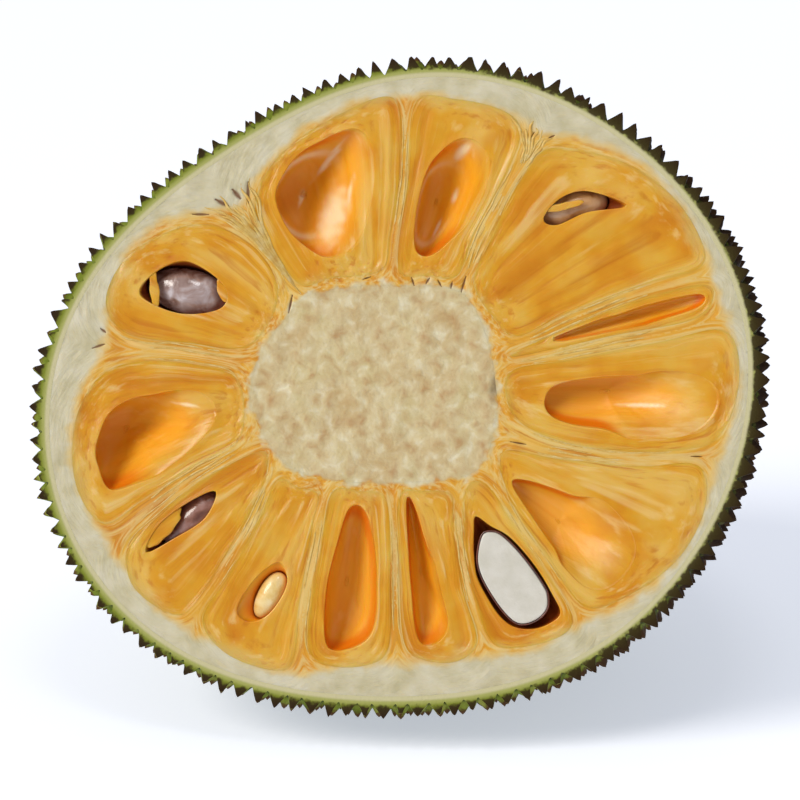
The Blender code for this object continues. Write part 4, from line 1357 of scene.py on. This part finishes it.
def make_seed(name, finish):
    """A whole seed in its coat: an oval, fuller at one end and lightly wrinkled."""
    seed = SEEDS[name]
    along, across, through = (length / 2 for length in seed["size"])
    turn = math.radians(seed["turn"])
    axes = np.array([[math.cos(turn), math.sin(turn), 0], [-math.sin(turn), math.cos(turn), 0],
                     [0, 0, 1]])
    shell = Shell()
    angles = all_round(SEED_SIDES)
    rings = []

    def spots_at(share):
        x = -math.cos(share)
        girth = math.sin(share) ** 0.86 * (1 + 0.06 * x)
        ring = np.column_stack([np.full(len(angles), x * along),
                                across * girth * np.cos(angles), through * girth * np.sin(angles)])
        ring *= 1 - 0.012 - 0.012 * ripple(ring, 3.5, along)[:, None]
        return ring @ axes + np.array(seed["place"])

    for share in np.linspace(0, math.pi, SEED_RINGS)[1:-1]:
        rings.append(shell.add(spots_at(share)))
    shell.skin(rings, spots_at(math.pi)[0], spots_at(0.0)[0])
    shell.piece(name.replace("seed", "coated_seed"), finish, "seed_coat", name)


def make_cut_seed(kernel_look, coat_look):
    """The seed that the knife went through: its white kernel, and the thin coat round it."""
    shell = Shell()
    outline = smooth_loop(KERNEL, 0.6)
    sunk = np.array([0, 0, -0.35])
    edge = rounded_edge(shell, outline, 0.5)
    add_pod(shell, edge, outline, 8.6, 0.5)
    shell.fill(edge[0], [], 0.7, lambda spots: (flat(spots, 0.1 * ripple(flat(spots), 7.0)), {}))
    shell.points = [points + sunk for points in shell.points]
    shell.piece("cut_kernel", kernel_look, "cut_seed", "seed_07")

    coat = Shell()
    inner, outer = grown(outline, 0.12), grown(outline, 0.62)
    rings = [coat.add(flat(inner, -0.75)), coat.add(flat(grown(outline, 0.24), -0.45)),
             coat.add(flat(grown(outline, 0.5), -0.45)), coat.add(flat(outer, -0.75))]
    add_pod(coat, rings, outer, 9.6, 0.9)
    add_pod(coat, rings[:1], inner, 9.0, 0.9)
    coat.piece("cut_seed_coat", coat_look, "seed_coat")


def make_floor():
    """A matt white board that fills the picture, and glows a little to stay white."""
    grid = bmesh.new()
    bmesh.ops.create_grid(grid, x_segments=1, y_segments=1, size=FLOOR_REACH)
    mesh = bpy.data.meshes.new("white_floor")
    grid.to_mesh(mesh)
    grid.free()
    ground = bpy.data.objects.new("white_floor", mesh)
    bpy.context.scene.collection.objects.link(ground)
    material = bpy.data.materials.new("white board")
    material.use_nodes = True
    board = material.node_tree.nodes["Principled BSDF"]
    for name, value in (("Base Color", linear("#d8dade")), ("Roughness", 0.8),
                        ("Specular IOR Level", 0.1), ("Emission Color", linear("#eaf0ff")),
                        ("Emission Strength", 0.56)):
        board.inputs[name].default_value = value
    mesh.materials.append(material)


def make_light():
    """A soft window at the upper left, a small sheen from above, and a pale room."""
    scene = bpy.context.scene
    world = bpy.data.worlds.new("soft studio")
    world.use_nodes = True
    sky = world.node_tree.nodes["Background"]
    sky.inputs[0].default_value = linear("#f5f7ff")
    sky.inputs[1].default_value = 0.36
    scene.world = world
    scene.view_settings.view_transform = "Standard"
    for name, kind, place, size, power, colour in LIGHTS:
        light = bpy.data.lights.new(name, kind)
        setattr(light, "angle" if kind == "SUN" else "size", size)
        light.energy = power
        light.color = linear(colour)[:3]
        lamp = bpy.data.objects.new(name, light)
        scene.collection.objects.link(lamp)
        lamp.location = place
        aim = Vector(place) if kind == "SUN" else Vector(place) - FRUIT.translation
        lamp.rotation_euler = aim.to_track_quat("Z", "Y").to_euler()


def make_camera():
    """The camera in front, where the photograph was taken from."""
    azimuth, elevation = math.radians(CAMERA_ROUND), math.radians(CAMERA_RISE)
    back = Vector((math.sin(azimuth) * math.cos(elevation),
                   -math.cos(azimuth) * math.cos(elevation), math.sin(elevation)))
    turn = back.to_track_quat("Z", "Y")
    target = FRUIT.translation + turn @ Vector((*PICTURE_MIDDLE, 0)) * MM
    lens = bpy.data.cameras.new("camera")
    lens.sensor_width = SENSOR
    lens.lens = SENSOR * CAMERA_REACH / (PICTURE_WIDTH * MM)
    camera = bpy.data.objects.new("camera", lens)
    bpy.context.scene.collection.objects.link(camera)
    camera.location = target + back * CAMERA_REACH
    camera.rotation_euler = turn.to_euler()
    bpy.context.scene.camera = camera


def make_fruit():
    """Every piece of the fruit, over its solids."""
    flesh = flesh_finish()
    make_rind(rind_finish())
    make_pith(pith_finish())
    make_core(core_finish())
    for name in BULBS:
        make_bulb(name, flesh)
    make_rag(rag_finish())
    make_membranes(flesh)
    for seed, *coat in COATS:
        make_seed(seed, coat_finish(*coat))
    make_cut_seed(kernel_finish(), coat_finish("dark cut seed coat", "#7d3c22", "#5e2a18",
                                               "#3c1a10", 0.4))


make_fruit()
make_floor()
make_light()
make_camera()
bpy.context.view_layer.update()
